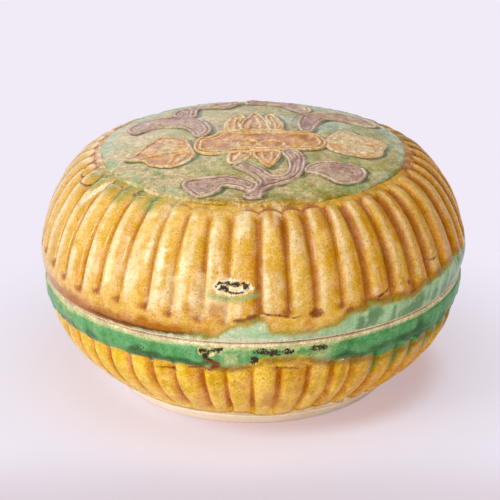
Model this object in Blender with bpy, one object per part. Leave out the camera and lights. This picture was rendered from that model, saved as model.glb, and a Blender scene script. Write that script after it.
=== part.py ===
"""A round pottery box and cover with fluted sides and a lotus spray on the lid's medallion.

Metres, +Z up, front towards -Y. The origin is the middle of the base, on the surface that the
box stands on. The lid lifts straight up, along the Z axis.
"""

import math

import bmesh
import bpy

MM = 0.001

# Overall sizes
SEAM_HEIGHT = 41.5 * MM
SEAM_RADIUS = 73.2 * MM
JOINT_GAP = 0.3 * MM

# Foot
FOOT_RADIUS = 47.8 * MM
FOOT_HEIGHT = 4.6 * MM
FOOT_FLARE = 4.2 * MM
FOOT_WIDTH = 7.0 * MM

# Box
BOX_RIBS = 50
BOX_BAND_WIDTH = 10.5 * MM
BOX_BAND_STEP = 1.6 * MM
BOX_BAND_BULGE = 0.5 * MM
BOX_CURVE_POWER = 1.8
BOX_WALL = 6.6 * MM
BOX_FLOOR = 5.6 * MM

# Collar inside the box's mouth
COLLAR_RISE = 7.5 * MM
COLLAR_SINK = 8.0 * MM
COLLAR_WALL = 3.5 * MM
COLLAR_CLEARANCE = 0.8 * MM

# Lid
LID_RIBS = 48
LID_HEIGHT = 39.8 * MM
LID_SWELL = 1.8 * MM
LID_BAND_WIDTH = 8.0 * MM
LID_TOP_RADIUS = 54.4 * MM
LID_CURVE_POWER = 1.5
LID_CURVE_EASE = 0.55
LID_RIM_WIDTH = 5.0 * MM
LID_WALL = 5.4 * MM
LID_RIB_TURN = math.radians(1.5)

# Grooves between the ribs
GROOVE_DEPTH = 1.6 * MM
GROOVE_SHARE = 0.3
RIB_CROWN = 0.4 * MM

# Medallion and its relief
MEDALLION_MARGIN = 0.8 * MM
MEDALLION_EDGE = 1.0 * MM
MEDALLION_RISE = 4.2 * MM
RELIEF_HEIGHT = 1.1 * MM

# Fineness of the round pieces and of the sprigs' outlines
PLAIN_SEGMENTS = 64
MEDALLION_SEGMENTS = 48
MEDALLION_RINGS = 8
OUTLINE_STEPS = 3
SHARP_ANGLE = math.radians(35)

# Rings of the ribbed walls: share of the way up, and share of the groove depth there
BOX_RIB_RINGS = ((0, 0), (0.12, 0.5), (0.3, 1), (0.52, 1), (0.78, 1), (1, 0.6))
LID_RIB_RINGS = ((0, 0.2), (0.1, 1), (0.25, 1), (0.45, 1), (0.65, 1), (0.82, 1), (0.93, 1), (1, 0.6))

# Rings of the box's plain band: share of the way up, and share of the bulge there
BOX_BAND_RINGS = ((0.2, 0), (0.5, 1), (1, 0))

# Rings of the lid's plain band and of both hollows: share of the way up
LID_BAND_RINGS = (0, 0.45, 0.8)
BOX_HOLLOW_RINGS = (0, 0.25, 0.5, 0.75)
LID_HOLLOW_RINGS = (0, 0.25, 0.45, 0.65, 0.8, 1)

# Sprig outlines are drawn for a medallion of this radius, +y towards the back
DRAWN_RADIUS = 53.6

FLOWER_HEART = [
    (-20, -9.5), (-19.6, -3), (-18.3, 1), (-14.5, 2.2), (-12.2, 5), (-9, 8.4), (-4, 7.4), (0.5, 6),
    (4, 7.8), (9, 8.6), (13, 6.8), (18.5, 6.9), (23.2, 4), (25, -1), (24, -6), (20, -9.2),
    (14, -10), (7, -11.6), (-2, -12.6), (-9, -12.7), (-13, -14), (-17.5, -13),
]
PETAL_BACK_LEFT = [(-4.4, 9), (-9.2, 10), (-9.6, 16), (-7.8, 23), (-4.8, 29.5), (-3, 24), (-5, 17)]
PETAL_BACK_MIDDLE = [
    (-3.6, 9.2), (-4.2, 15), (-2.2, 22.5), (0.8, 30.8), (3.9, 22.5), (5.4, 15), (4.8, 9.8), (0.5, 8),
]
PETAL_BACK_RIGHT = [(5.8, 10.3), (6.3, 17), (4.8, 24), (5.8, 28.8), (8.8, 23), (10.4, 16), (10, 10.4)]
PETALS_LEFT = [
    (-21, -10), (-22.6, -4), (-23.4, 0.4), (-28, 4), (-32.5, 4.4), (-35, 0), (-38.4, -5), (-40.2, -10),
    (-43.6, -14.2), (-37.5, -16.5), (-35, -20), (-28.2, -22.8), (-23, -19.4), (-20.4, -14.8),
]
PETALS_RIGHT = [
    (26.2, -5.5), (26, 1), (28, 6.5), (31, 12.5), (34.4, 12.8), (36.6, 9.4), (42.5, 7.4), (46, 2),
    (44.4, -4), (43.6, -9.2), (38.8, -12.6), (33, -11.4), (28.4, -9),
]
PETAL_FRONT_LEFT = [(-7.2, -14), (-8.2, -18.5), (-7.6, -22.6), (-3.6, -20.4), (-1.1, -16.6), (-1.2, -14)]
PETAL_FRONT_RIGHT = [
    (0.8, -13.4), (0.9, -17.6), (3, -22), (5.4, -25.8), (7.6, -21), (8.8, -16.6), (8.8, -12.6),
]
STEM_FRONT = [
    (-3, -48), (0.2, -43.4), (2.6, -39), (1.8, -35), (-1.8, -29.6), (-6.4, -25.4), (-3, -22.2),
    (2.2, -26.6), (5.4, -32.6), (9, -33.6), (11.6, -30.6), (12.6, -25.6), (12, -19), (10, -12.8),
    (14.4, -11.4), (17.2, -17), (17, -25), (15.8, -31), (12.8, -35.6), (8.4, -38.6), (5, -40.6),
    (2.8, -44), (2, -48),
]
LEAF_FRONT_LEFT = [
    (-0.9, -44), (-5.6, -40.9), (-10.4, -40.2), (-12, -43.4), (-17.4, -47.2), (-20.2, -45), (-22.8, -39.4),
    (-22, -35.2), (-15.5, -34), (-9, -33.4), (-4, -35.3), (1.2, -39.6),
]
LEAF_FRONT_RIGHT = [
    (17.9, -29.2), (18.2, -25.6), (20.5, -22), (26, -19.8), (33, -20.4), (37.4, -24.4), (37.4, -30),
    (33.4, -35), (27.4, -34.8), (24.4, -31.4), (21, -29.4),
]
LEAF_BACK_LEFT = [
    (-17.2, 4), (-15, 10), (-16.6, 18), (-19.6, 24), (-25, 27.2), (-31, 28.6), (-38, 27.6), (-42.6, 23),
    (-44.2, 17.4), (-41.4, 12), (-37, 15.2), (-30.5, 16.4), (-24.6, 13.6), (-21.4, 8.8), (-19.8, 3.6),
]
LEAF_BACK_RIGHT = [
    (17.2, 10), (16.3, 18), (17.6, 27), (20.6, 31.8), (27, 35), (34, 34.4), (40, 29.6), (44, 22.6),
    (40, 20.4), (35.6, 23.4), (30.4, 26.6), (26.4, 25.6), (23, 20.4), (20.6, 10),
]
STEM_BACK_LEFT = [
    (-4.4, 47.8), (-6.4, 43), (-10, 39), (-15.6, 40.2), (-20, 38.4), (-20.6, 33), (-21.6, 28.4), (-28, 30.2),
    (-27.6, 36.6), (-23.4, 42.2), (-16, 45.4), (-10.4, 47.6),
]
STEM_BACK_RIGHT = [
    (-1.6, 50.4), (-2, 46.4), (4, 45.4), (9.5, 43.2), (14.2, 37.2), (17.2, 33), (20.6, 35.2), (20.2, 40),
    (16.8, 45), (11.4, 49.2), (5, 51),
]

# Clay and glaze colours, as seen on screen, with roughness
BARE_CLAY = ((246, 228, 202), 0.85)
AMBER_GLAZE = ((214, 160, 72), 0.28)
SAGE_GLAZE = ((172, 178, 128), 0.35)
FLOWER_GLAZE = ((202, 158, 92), 0.35)
LEAF_GLAZE = ((166, 132, 118), 0.35)


def clear_scene():
    """Empty the scene, whatever it held."""
    for thing in list(bpy.data.objects):
        bpy.data.objects.remove(thing, do_unlink=True)


def linear(channel):
    """A screen colour channel from 0 to 255 as linear light from 0 to 1."""
    share = channel / 255
    return share / 12.92 if share <= 0.04045 else ((share + 0.055) / 1.055) ** 2.4


def glaze(name, finish):
    """A Principled material of one screen colour and roughness."""
    colour, roughness = finish
    material = bpy.data.materials.new(name)
    material.use_nodes = True
    shader = material.node_tree.nodes["Principled BSDF"]
    shader.inputs["Base Color"].default_value = (*(linear(channel) for channel in colour), 1)
    shader.inputs["Roughness"].default_value = roughness
    shader.inputs["Metallic"].default_value = 0
    return material


def finished_object(name, bm, finish, parent):
    """Turn a bmesh into a named, parented object with its own material."""
    bmesh.ops.recalc_face_normals(bm, faces=bm.faces)
    mesh = bpy.data.meshes.new(name)
    bm.to_mesh(mesh)
    bm.free()
    mesh.shade_smooth()
    mesh.set_sharp_from_angle(angle=SHARP_ANGLE)
    mesh.materials.append(glaze(name, finish))
    thing = bpy.data.objects.new(name, mesh)
    thing.parent = parent
    bpy.context.collection.objects.link(thing)
    return thing


def body_empty(name):
    """An empty on the lid's axis that carries the pieces of one body."""
    empty = bpy.data.objects.new(name, None)
    bpy.context.collection.objects.link(empty)
    return empty


def rib_stations():
    """Places across one rib, from groove to groove, each with the share of the groove's depth there."""
    crown = RIB_CROWN / GROOVE_DEPTH
    return ((0.0, 1.0), (GROOVE_SHARE / 2, crown), (0.5, 0.0), (1 - GROOVE_SHARE / 2, crown))


def section_row(bm, segments, turn, radius, height, groove):
    """One ring of a turned section: a point on the axis, a plain ring, or a ribbed ring.

    turn is the angle of its first point from the front. groove is None for a plain ring, else the
    share of the full groove depth that this ring has.
    """
    if radius == 0:
        return [bm.verts.new((0, 0, height))]
    stations = ((0.0, 0.0),) if groove is None else rib_stations()
    row = []
    for segment in range(segments):
        for place, depth in stations:
            angle = math.tau * (segment + place) / segments + turn - math.pi / 2
            reach = radius - GROOVE_DEPTH * depth * (groove or 0)
            row.append(bm.verts.new((reach * math.cos(angle), reach * math.sin(angle), height)))
    return row


def join_rows(bm, first, second):
    """Faces between two rings, where one may have a whole number of points for each of the other's."""
    fine, coarse = (first, second) if len(first) >= len(second) else (second, first)
    ratio = len(fine) // len(coarse)
    if len(coarse) == 1:
        for index, point in enumerate(fine):
            bm.faces.new((point, fine[(index + 1) % len(fine)], coarse[0]))
        return
    for index, corner in enumerate(coarse):
        run = [fine[(index * ratio + step) % len(fine)] for step in range(ratio + 1)]
        bm.faces.new((*run, coarse[(index + 1) % len(coarse)], corner))


def turned(name, segments, section, finish, parent, closed=False, turn=0):
    """A piece turned about the Z axis from its section's stops of radius, height and groove share."""
    bm = bmesh.new()
    rows = [section_row(bm, segments, turn, *stop) for stop in section]
    pairs = list(zip(rows, rows[1:]))
    if closed:
        pairs.append((rows[-1], rows[0]))
    for first, second in pairs:
        join_rows(bm, first, second)
    return finished_object(name, bm, finish, parent)


def lid_mouth_radius():
    """Inner radius of the lid's rim, which passes over the collar."""
    return SEAM_RADIUS - LID_RIM_WIDTH


def collar_radius():
    """Outer radius of the collar."""
    return lid_mouth_radius() - COLLAR_CLEARANCE


def box_base_height():
    """Height of the bowl's underside, which sits on the foot."""
    return FOOT_HEIGHT + JOINT_GAP


def box_shoulder_height():
    """Height where the bowl's ribs end and its plain band begins."""
    return SEAM_HEIGHT - BOX_BAND_WIDTH


def between(low, high, share):
    """The value a share of the way from low to high."""
    return low + (high - low) * share


def box_radius(height):
    """Crest radius of the bowl's ribs at a height between its base and its shoulder."""
    share = (height - box_base_height()) / (box_shoulder_height() - box_base_height())
    climb = 1 - (1 - share) ** BOX_CURVE_POWER
    return between(FOOT_RADIUS + FOOT_FLARE, SEAM_RADIUS - BOX_BAND_STEP, climb)


def make_foot_ring(parent):
    """The unglazed ring that the box stands on."""
    inner = FOOT_RADIUS - FOOT_WIDTH
    section = [
        (inner, 0, None),
        (FOOT_RADIUS, 0, None),
        (FOOT_RADIUS + FOOT_FLARE, FOOT_HEIGHT, None),
        (inner, FOOT_HEIGHT, None),
    ]
    turned("foot_ring", PLAIN_SEGMENTS, section, BARE_CLAY, parent, closed=True)


def make_box_bowl(parent):
    """The fluted bowl, with a plain band under its rim and a step inside for the collar."""
    base = box_base_height()
    shoulder = box_shoulder_height()
    rim = SEAM_HEIGHT - JOINT_GAP / 2
    mouth = collar_radius() + JOINT_GAP
    ledge = SEAM_HEIGHT - COLLAR_SINK - JOINT_GAP
    hollow_radius = collar_radius() - COLLAR_WALL
    floor = base + BOX_FLOOR
    outer = [(0, base, None), (FOOT_RADIUS - FOOT_WIDTH, base, None)]
    for share, groove in BOX_RIB_RINGS:
        height = between(base, shoulder, share)
        outer.append((box_radius(height), height, groove))
    for share, bulge in BOX_BAND_RINGS:
        height = between(shoulder, rim, share)
        outer.append((SEAM_RADIUS + BOX_BAND_BULGE * bulge, height, 0))
    inner = [(mouth, rim, None), (mouth, ledge, None), (hollow_radius, ledge, None)]
    for share in reversed(BOX_HOLLOW_RINGS):
        height = between(floor, shoulder, share)
        inner.append((min(hollow_radius, box_radius(height) - BOX_WALL), height, None))
    inner.append((0, floor, None))
    turned("box_bowl", BOX_RIBS, outer + inner, AMBER_GLAZE, parent)


def make_seating_collar(parent):
    """The bare upright collar in the bowl's mouth, which the lid passes over."""
    outside = collar_radius()
    inside = outside - COLLAR_WALL
    low = SEAM_HEIGHT - COLLAR_SINK
    high = SEAM_HEIGHT + COLLAR_RISE
    section = [(inside, low, None), (outside, low, None), (outside, high, None), (inside, high, None)]
    turned("seating_collar", PLAIN_SEGMENTS, section, BARE_CLAY, parent, closed=True)


def lid_band_top():
    """Height where the lid's plain rim band ends and its ribs begin."""
    return SEAM_HEIGHT + LID_BAND_WIDTH


def lid_top_height():
    """Height of the lid's flat top, where the ribs end and the medallion sits."""
    return SEAM_HEIGHT + LID_HEIGHT


def lid_radius(share):
    """Crest radius of the lid's ribs, a share of the way up from the band to the medallion."""
    drop = 1 - (1 - share**LID_CURVE_POWER) ** LID_CURVE_EASE
    return between(SEAM_RADIUS + LID_SWELL, LID_TOP_RADIUS, drop)


def make_lid_dome(parent):
    """The fluted lid, with a plain rim band and a flat top for the medallion."""
    rim = SEAM_HEIGHT + JOINT_GAP / 2
    top = lid_top_height()
    ceiling = top - LID_WALL
    section = [(0, top, None), (LID_TOP_RADIUS - LID_WALL, top, None)]
    for share, groove in reversed(LID_RIB_RINGS):
        section.append((lid_radius(share), between(lid_band_top(), top, share), groove))
    for share in reversed(LID_BAND_RINGS):
        swell = LID_SWELL * math.sin(share * math.pi / 2)
        section.append((SEAM_RADIUS + swell, between(rim, lid_band_top(), share), 0))
    section.append((lid_mouth_radius(), rim, None))
    for share in LID_HOLLOW_RINGS:
        section.append((lid_radius(share) - LID_WALL, between(lid_band_top(), ceiling, share), None))
    section.append((0, ceiling, None))
    turned("lid_dome", LID_RIBS, section, AMBER_GLAZE, parent, turn=LID_RIB_TURN)


def medallion_radius():
    """Radius of the medallion, which stands just inside the tops of the ribs."""
    return LID_TOP_RADIUS - MEDALLION_MARGIN


def medallion_seat():
    """Height of the medallion's flat underside."""
    return lid_top_height() + JOINT_GAP


def medallion_height(reach):
    """Height of the medallion's domed face at a share of its radius."""
    return medallion_seat() + MEDALLION_EDGE + MEDALLION_RISE * (1 - reach**2)


def domed_face(lift):
    """Stops of the medallion's face from its middle to its edge, lifted straight up."""
    stops = []
    for ring in range(MEDALLION_RINGS + 1):
        reach = ring / MEDALLION_RINGS
        stops.append((medallion_radius() * reach, medallion_height(reach) + lift, None))
    return stops


def make_medallion(parent):
    """The domed disc on top of the lid."""
    seat = medallion_seat()
    section = domed_face(0) + [(medallion_radius(), seat, None), (0, seat, None)]
    turned("medallion", MEDALLION_SEGMENTS, section, SAGE_GLAZE, parent)


def make_relief_blank(parent):
    """A domed slab just over the medallion's face, from which the sprigs are cut. It is not a piece."""
    under = domed_face(JOINT_GAP)
    over = domed_face(JOINT_GAP + RELIEF_HEIGHT)
    blank = turned("relief_blank", MEDALLION_SEGMENTS, over + under[::-1], SAGE_GLAZE, parent)
    blank.hide_render = True
    blank.display_type = "WIRE"
    return blank


def curve_between(a, b, c, d, t):
    """Value at t on the smooth curve from b to c that comes from a and goes on to d."""
    slope = (c - a) / 2
    next_slope = (d - b) / 2
    rise = c - b
    return b + slope * t + (3 * rise - 2 * slope - next_slope) * t**2 + (slope + next_slope - 2 * rise) * t**3


def smooth_loop(points):
    """A closed curve through the drawn points, with a few steps from each point to the next."""
    count = len(points)
    curve = []
    for index in range(count):
        before, start, end, after = (points[(index + step) % count] for step in (-1, 0, 1, 2))
        for step in range(OUTLINE_STEPS):
            t = step / OUTLINE_STEPS
            x = curve_between(before[0], start[0], end[0], after[0], t)
            y = curve_between(before[1], start[1], end[1], after[1], t)
            curve.append((x, y))
    return curve


def make_sprig(name, outline, finish, blank, parent):
    """One sprig of the relief: its outline as a tall prism, kept only inside the blank."""
    scale = medallion_radius() / DRAWN_RADIUS
    bm = bmesh.new()
    edge = [bm.verts.new((x * scale, y * scale, medallion_seat())) for x, y in smooth_loop(outline)]
    face = bm.faces.new(edge)
    raised = bmesh.ops.extrude_face_region(bm, geom=[face])["geom"]
    corners = [item for item in raised if isinstance(item, bmesh.types.BMVert)]
    climb = 2 * (MEDALLION_EDGE + MEDALLION_RISE + RELIEF_HEIGHT)
    bmesh.ops.translate(bm, verts=corners, vec=(0, 0, climb))
    sprig = finished_object(name, bm, finish, parent)
    cut = sprig.modifiers.new("Keep the relief's height", "BOOLEAN")
    cut.operation = "INTERSECT"
    cut.object = blank


def make_relief(parent):
    """The lotus spray: flower, petals, stems and leaves."""
    blank = make_relief_blank(parent)
    flower = {
        "flower_heart": FLOWER_HEART,
        "petal_back_left": PETAL_BACK_LEFT,
        "petal_back_middle": PETAL_BACK_MIDDLE,
        "petal_back_right": PETAL_BACK_RIGHT,
        "petals_left": PETALS_LEFT,
        "petals_right": PETALS_RIGHT,
        "petal_front_left": PETAL_FRONT_LEFT,
        "petal_front_right": PETAL_FRONT_RIGHT,
    }
    foliage = {
        "stem_front": STEM_FRONT,
        "leaf_front_left": LEAF_FRONT_LEFT,
        "leaf_front_right": LEAF_FRONT_RIGHT,
        "leaf_back_left": LEAF_BACK_LEFT,
        "leaf_back_right": LEAF_BACK_RIGHT,
        "stem_back_left": STEM_BACK_LEFT,
        "stem_back_right": STEM_BACK_RIGHT,
    }
    for name, outline in flower.items():
        make_sprig(name, outline, FLOWER_GLAZE, blank, parent)
    for name, outline in foliage.items():
        make_sprig(name, outline, LEAF_GLAZE, blank, parent)


def main():
    clear_scene()
    box = body_empty("box")
    make_foot_ring(box)
    make_box_bowl(box)
    make_seating_collar(box)
    lid = body_empty("lid")
    make_lid_dome(lid)
    make_medallion(lid)
    make_relief(lid)


main()
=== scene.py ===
import math

import bpy
import numpy as np
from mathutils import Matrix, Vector


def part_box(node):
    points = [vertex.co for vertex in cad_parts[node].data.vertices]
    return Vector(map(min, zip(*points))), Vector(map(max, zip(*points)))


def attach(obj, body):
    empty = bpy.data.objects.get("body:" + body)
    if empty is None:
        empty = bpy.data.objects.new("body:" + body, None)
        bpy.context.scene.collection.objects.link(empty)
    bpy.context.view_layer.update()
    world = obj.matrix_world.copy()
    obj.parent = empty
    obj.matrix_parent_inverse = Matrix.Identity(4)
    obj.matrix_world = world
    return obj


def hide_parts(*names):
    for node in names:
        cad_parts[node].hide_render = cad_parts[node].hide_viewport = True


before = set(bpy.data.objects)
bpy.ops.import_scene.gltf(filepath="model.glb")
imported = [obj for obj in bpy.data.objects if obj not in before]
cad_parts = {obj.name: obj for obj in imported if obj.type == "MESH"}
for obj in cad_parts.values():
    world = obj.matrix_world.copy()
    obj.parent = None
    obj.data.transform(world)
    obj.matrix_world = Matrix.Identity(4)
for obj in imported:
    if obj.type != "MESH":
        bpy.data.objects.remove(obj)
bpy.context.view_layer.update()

bl_info = {
    "name": "Fluted pottery box",
    "version": (1, 0, 0),
    "blender": (4, 5, 0),
    "location": "View3D > Sidebar > Pottery box",
    "description": "Glazed and fluted pieces of a round pottery box, laid over its packed solids",
    "category": "Object",
}

MM = 0.001

# Limits in millimetres: farther than any mark reaches, too close to part two points, and nearly nothing
FAR = 99.0
MERGE_DISTANCE = 0.001
SAME_PLACE = 1e-4
ROUNDING = 1e-6
TINY = 1e-9

# Steps round a rounded corner of a section
CORNER_STEPS = 5


def span(node):
    """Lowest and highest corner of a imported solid, in millimetres."""
    low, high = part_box(node)
    return np.array(low) / MM, np.array(high) / MM


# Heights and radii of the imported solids, in millimetres
FOOT_TOP = span("foot_ring")[1][2]
FOOT_TOP_RADIUS = span("foot_ring")[1][0]
BOWL_BASE = span("box_bowl")[0][2]
BOWL_RIM = span("box_bowl")[1][2]
COLLAR_LOW = span("seating_collar")[0][2]
COLLAR_HIGH = span("seating_collar")[1][2]
COLLAR_RADIUS = span("seating_collar")[1][0]
LID_RIM = span("lid_dome")[0][2]
LID_TOP = span("lid_dome")[1][2]
LID_RADIUS = span("lid_dome")[1][0]
MEDALLION_RADIUS = span("medallion")[1][0]
MEDALLION_SEAT = span("medallion")[0][2]
MEDALLION_TOP = span("medallion")[1][2]

# Sizes in millimetres, and powers of the curves, that the solids' corners do not give
SEAM_HEIGHT = (BOWL_RIM + LID_RIM) / 2
SEAM_RADIUS = 73.2
FOOT_RADIUS = 47.8
FOOT_WIDTH = 7.0
BOWL_SHOULDER = 31.0
BOWL_SHOULDER_RADIUS = 71.6
BOWL_BAND_LOW = 33.0
BOWL_BAND_BULGE = 0.5
BOWL_CURVE_POWER = 1.8
BOWL_WALL = 6.6
BOWL_FLOOR = 5.6
COLLAR_WALL = 3.5
COLLAR_GAP = 0.3
LID_BAND_TOP = 49.5
LID_TOP_RADIUS = 54.4
LID_CURVE_POWER = 1.5
LID_CURVE_EASE = 0.55
LID_WALL = 5.4
LID_MOUTH_RADIUS = 68.2
LIP_HEIGHT = 2.0
FOOT_OVERLAP = 0.2
MEDALLION_EDGE = 1.0
MEDALLION_OVERLAP = 0.3

# Spacing of the points along the turned sections, in millimetres, wide where nothing fine is seen
WALL_SPACING = 0.45
LIP_SPACING = 0.55
EDGE_SPACING = 0.5
STEP_SPACING = 2.0
LINING_SPACING = 4.5
TABLE_SPACING = 9.0
UNDER_SPACING = 12.0
MEDALLION_SPACING = 0.5
MEDALLION_EDGE_SPACING = 0.3

# Where the ribs' rounded tips lie, in millimetres of height
LID_RIB_TOP = 81.27
LID_RIB_LOW = 50.8
BOWL_RIB_TOP = 32.4
BOWL_RIB_LOW = 6.6

# Lengths over which the ribs fade in and out at their tips, in millimetres
BOWL_RIB_FADES = (1.6, 5.0)
LID_RIB_LOW_FADE = 7.0

# Turning of the first groove from the front, in degrees
LID_PHASE = 1.5
BOWL_PHASE = 0.0

# Rise of the seam for each millimetre to the viewer's right, and the height over which it fades
SEAM_SLOPE = 0.011
SEAM_FADE = 16.0


def screen(red, green, blue):
    """A colour as seen on screen, in linear light."""
    shares = (channel / 255 for channel in (red, green, blue))
    return tuple(s / 12.92 if s <= 0.04045 else ((s + 0.055) / 1.055) ** 2.4 for s in shares)


def colour_property(name, description, *rgb):
    """A colour that a user can change, written as screen values."""
    return bpy.props.FloatVectorProperty(
        name=name, description=description, subtype="COLOR", size=3, min=0, max=1, default=screen(*rgb)
    )


def length_property(name, description, millimetres):
    """A length that a user can change, written in millimetres."""
    return bpy.props.FloatProperty(
        name=name, description=description, default=millimetres * MM, min=0, unit="LENGTH"
    )


class PotterySizes(bpy.types.PropertyGroup):
    """Sizes of the fluting and of the relief."""

    lid_ribs: bpy.props.IntProperty(name="Lid ribs", description="Ribs round the lid", default=48, min=8)
    bowl_ribs: bpy.props.IntProperty(name="Bowl ribs", description="Ribs round the bowl", default=50, min=8)
    groove_depth: length_property("Groove depth", "Depth of a groove below its rib's shoulders", 1.15)
    groove_width: length_property("Groove width", "Half width of a groove", 0.85)
    rib_crown: length_property("Rib crown", "Rise of a rib's crest over its shoulders", 1.0)
    thread_height: length_property("Thread height", "Rise of the relief's raised outlines", 0.65)


class GlazeColours(bpy.types.PropertyGroup):
    """Colours of the glazes and of the clay."""

    amber: colour_property("Amber", "Body of the amber glaze", 236, 189, 78)
    # Straw also paints highlights on the ribs' left shoulders and on the lid's front; honey and toffee also
    # paint shade on the right-hand side and on the ribs' right slopes
    honey: colour_property("Honey", "Amber glaze where it lies thicker", 222, 152, 8)
    straw: colour_property("Straw", "Amber glaze where it runs thin over edges", 248, 222, 162)
    toffee: colour_property("Toffee", "Amber glaze on the slopes beside the grooves", 204, 134, 16)
    brown: colour_property("Brown", "Amber glaze pooled in the grooves", 170, 96, 12)
    plum: colour_property("Plum", "Dark brown pooled at the lid's edge", 88, 50, 8)
    # Umber also paints a shadow in the seam under the lid's edge
    umber: colour_property("Umber", "Darkest crusts and chips", 58, 40, 14)
    green: colour_property("Green", "Copper green of the bowl's band", 98, 168, 100)
    pine: colour_property("Pine", "Copper green where it lies thicker", 48, 102, 46)
    mint: colour_property("Mint", "Copper green where it runs thin", 206, 210, 144)
    sage: colour_property("Sage", "Ground of the medallion", 192, 182, 104)
    teal: colour_property("Teal", "Bluer green near the medallion's edge", 196, 209, 177)
    # Olive also paints the relief's shadow on the medallion's ground, on its lower right side
    olive: colour_property("Olive", "Green pooled beside the relief", 92, 104, 46)
    tan: colour_property("Tan", "Warm thin patches on the medallion", 224, 196, 138)
    flower: colour_property("Flower", "Amber of the lotus", 236, 170, 84)
    aubergine: colour_property("Aubergine", "Purple-brown of leaves and stems", 196, 150, 132)
    clay: colour_property("Clay", "Bare fired clay", 255, 246, 222)


def sizes():
    """The sizes that a user can change."""
    return bpy.context.scene.pottery_sizes


def tint(name):
    """A glaze colour by its property's name."""
    return tuple(getattr(bpy.context.scene.pottery_colours, name))


# Smooth random fields, the same on every run

# Large odd numbers that scatter whole-number places, and a mask that keeps 32 bits
SCATTER = (374761393, 668265263, 1442695041, 1274126177)
MASK = 0xFFFFFFFF


def lattice(x, y, z, seed):
    """A fixed random value from 0 to 1 at whole-number places."""
    by_x, by_y, by_z, by_seed = SCATTER
    mixed = (x * by_x + y * by_y + z * by_z + seed * by_seed) & MASK
    mixed = ((mixed ^ (mixed >> 13)) * by_seed) & MASK
    return (mixed ^ (mixed >> 16)) / MASK


def noise(points, size, seed=0):
    """Smooth noise from -1 to 1 with lumps of about the given size."""
    scaled = np.asarray(points, float) / size
    whole = np.floor(scaled).astype(np.int64)
    part = scaled - whole
    smooth = part * part * (3 - 2 * part)
    total = 0
    for corner in np.ndindex(2, 2, 2):
        weight = np.prod(np.where(np.array(corner) == 1, smooth, 1 - smooth), axis=1)
        total = total + weight * lattice(*(whole + np.array(corner)).T, seed)
    return 2 * total - 1


def cloud(points, size, seed=0):
    """Noise with two finer layers on top, from about -1 to 1."""
    layers = (noise(points, size / 2**octave, seed + octave) / 2**octave for octave in range(3))
    return sum(layers) / 1.2


def ease(low, high, value):
    """0 at low, 1 at high and smooth between them."""
    share = np.clip((value - low) / (high - low), 0, 1)
    return share * share * (3 - 2 * share)


def bell(value, width):
    """1 where the value is 0, falling off over the width."""
    return np.exp(-((value / width) ** 2))


# Meshes


def deselect():
    """Leave edit mode and select nothing."""
    if bpy.context.mode != "OBJECT":
        bpy.ops.object.mode_set(mode="OBJECT")
    bpy.ops.object.select_all(action="DESELECT")


def read_points(piece):
    """The piece's vertices in millimetres."""
    points = np.empty(3 * len(piece.data.vertices))
    piece.data.vertices.foreach_get("co", points)
    return points.reshape(-1, 3) / MM


def write_points(piece, points):
    """Move the piece's vertices to places in millimetres."""
    piece.data.vertices.foreach_set("co", (np.asarray(points) * MM).ravel())
    piece.data.update()


def keep_field(piece, name, values):
    """Keep a named number on each vertex."""
    layer = piece.data.attributes.get(name) or piece.data.attributes.new(name, "FLOAT", "POINT")
    layer.data.foreach_set("value", np.ascontiguousarray(values, dtype=np.float32))


def read_field(piece, name):
    """A named number of each vertex."""
    values = np.empty(len(piece.data.vertices), dtype=np.float32)
    piece.data.attributes[name].data.foreach_get("value", values)
    return values.astype(float)


def paint(piece, **fields):
    """Keep glaze fields from 0 to 1 on the piece's vertices, for its material to read."""
    for name, values in fields.items():
        keep_field(piece, name, np.clip(values, 0, 1))


def evenly(path, spacing):
    """A path of radius and height points, walked at an even spacing."""
    path = np.asarray(path, float)
    reach = np.concatenate([[0], np.cumsum(np.hypot(*np.diff(path, axis=0).T))])
    stops = np.linspace(0, reach[-1], max(2, round(reach[-1] / spacing) + 1))
    return np.stack([np.interp(stops, reach, path[:, 0]), np.interp(stops, reach, path[:, 1])], axis=1)


def rounded(path, radius):
    """The path with its inner corners rounded off over the given radius."""
    path = np.asarray(path, float)
    points = [path[0]]
    for before, corner, after in zip(path, path[1:], path[2:]):
        start = corner + (before - corner) / np.linalg.norm(before - corner) * radius
        end = corner + (after - corner) / np.linalg.norm(after - corner) * radius
        for share in np.linspace(0, 1, CORNER_STEPS):
            points.append((1 - share) ** 2 * start + 2 * share * (1 - share) * corner + share**2 * end)
    return np.array([*points, path[-1]])


def joined(*stretches):
    """Stretches of a section end to end, each point with the number of its stretch."""
    rows = np.concatenate([np.column_stack([p, np.full(len(p), mark)]) for mark, p in enumerate(stretches)])
    apart_enough = np.hypot(*np.diff(rows[:, :2], axis=0).T) > SAME_PLACE
    return rows[np.concatenate([[True], apart_enough])]


def clear_selection(kind):
    """Select nothing in the active piece, and set which kind of part is selected next."""
    bpy.ops.object.mode_set(mode="EDIT")
    bpy.ops.mesh.select_mode(type=kind)
    bpy.ops.mesh.select_all(action="DESELECT")
    bpy.ops.object.mode_set(mode="OBJECT")


def delete_selected(kind):
    """Delete what is selected in the active piece."""
    bpy.ops.object.mode_set(mode="EDIT")
    bpy.ops.mesh.delete(type=kind)
    bpy.ops.object.mode_set(mode="OBJECT")


def smooth_outside():
    """Turn the active piece's faces outward and shade them smooth."""
    bpy.ops.object.mode_set(mode="EDIT")
    bpy.ops.mesh.select_all(action="SELECT")
    bpy.ops.mesh.normals_make_consistent(inside=False)
    bpy.ops.object.mode_set(mode="OBJECT")
    bpy.ops.object.shade_smooth()


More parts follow.
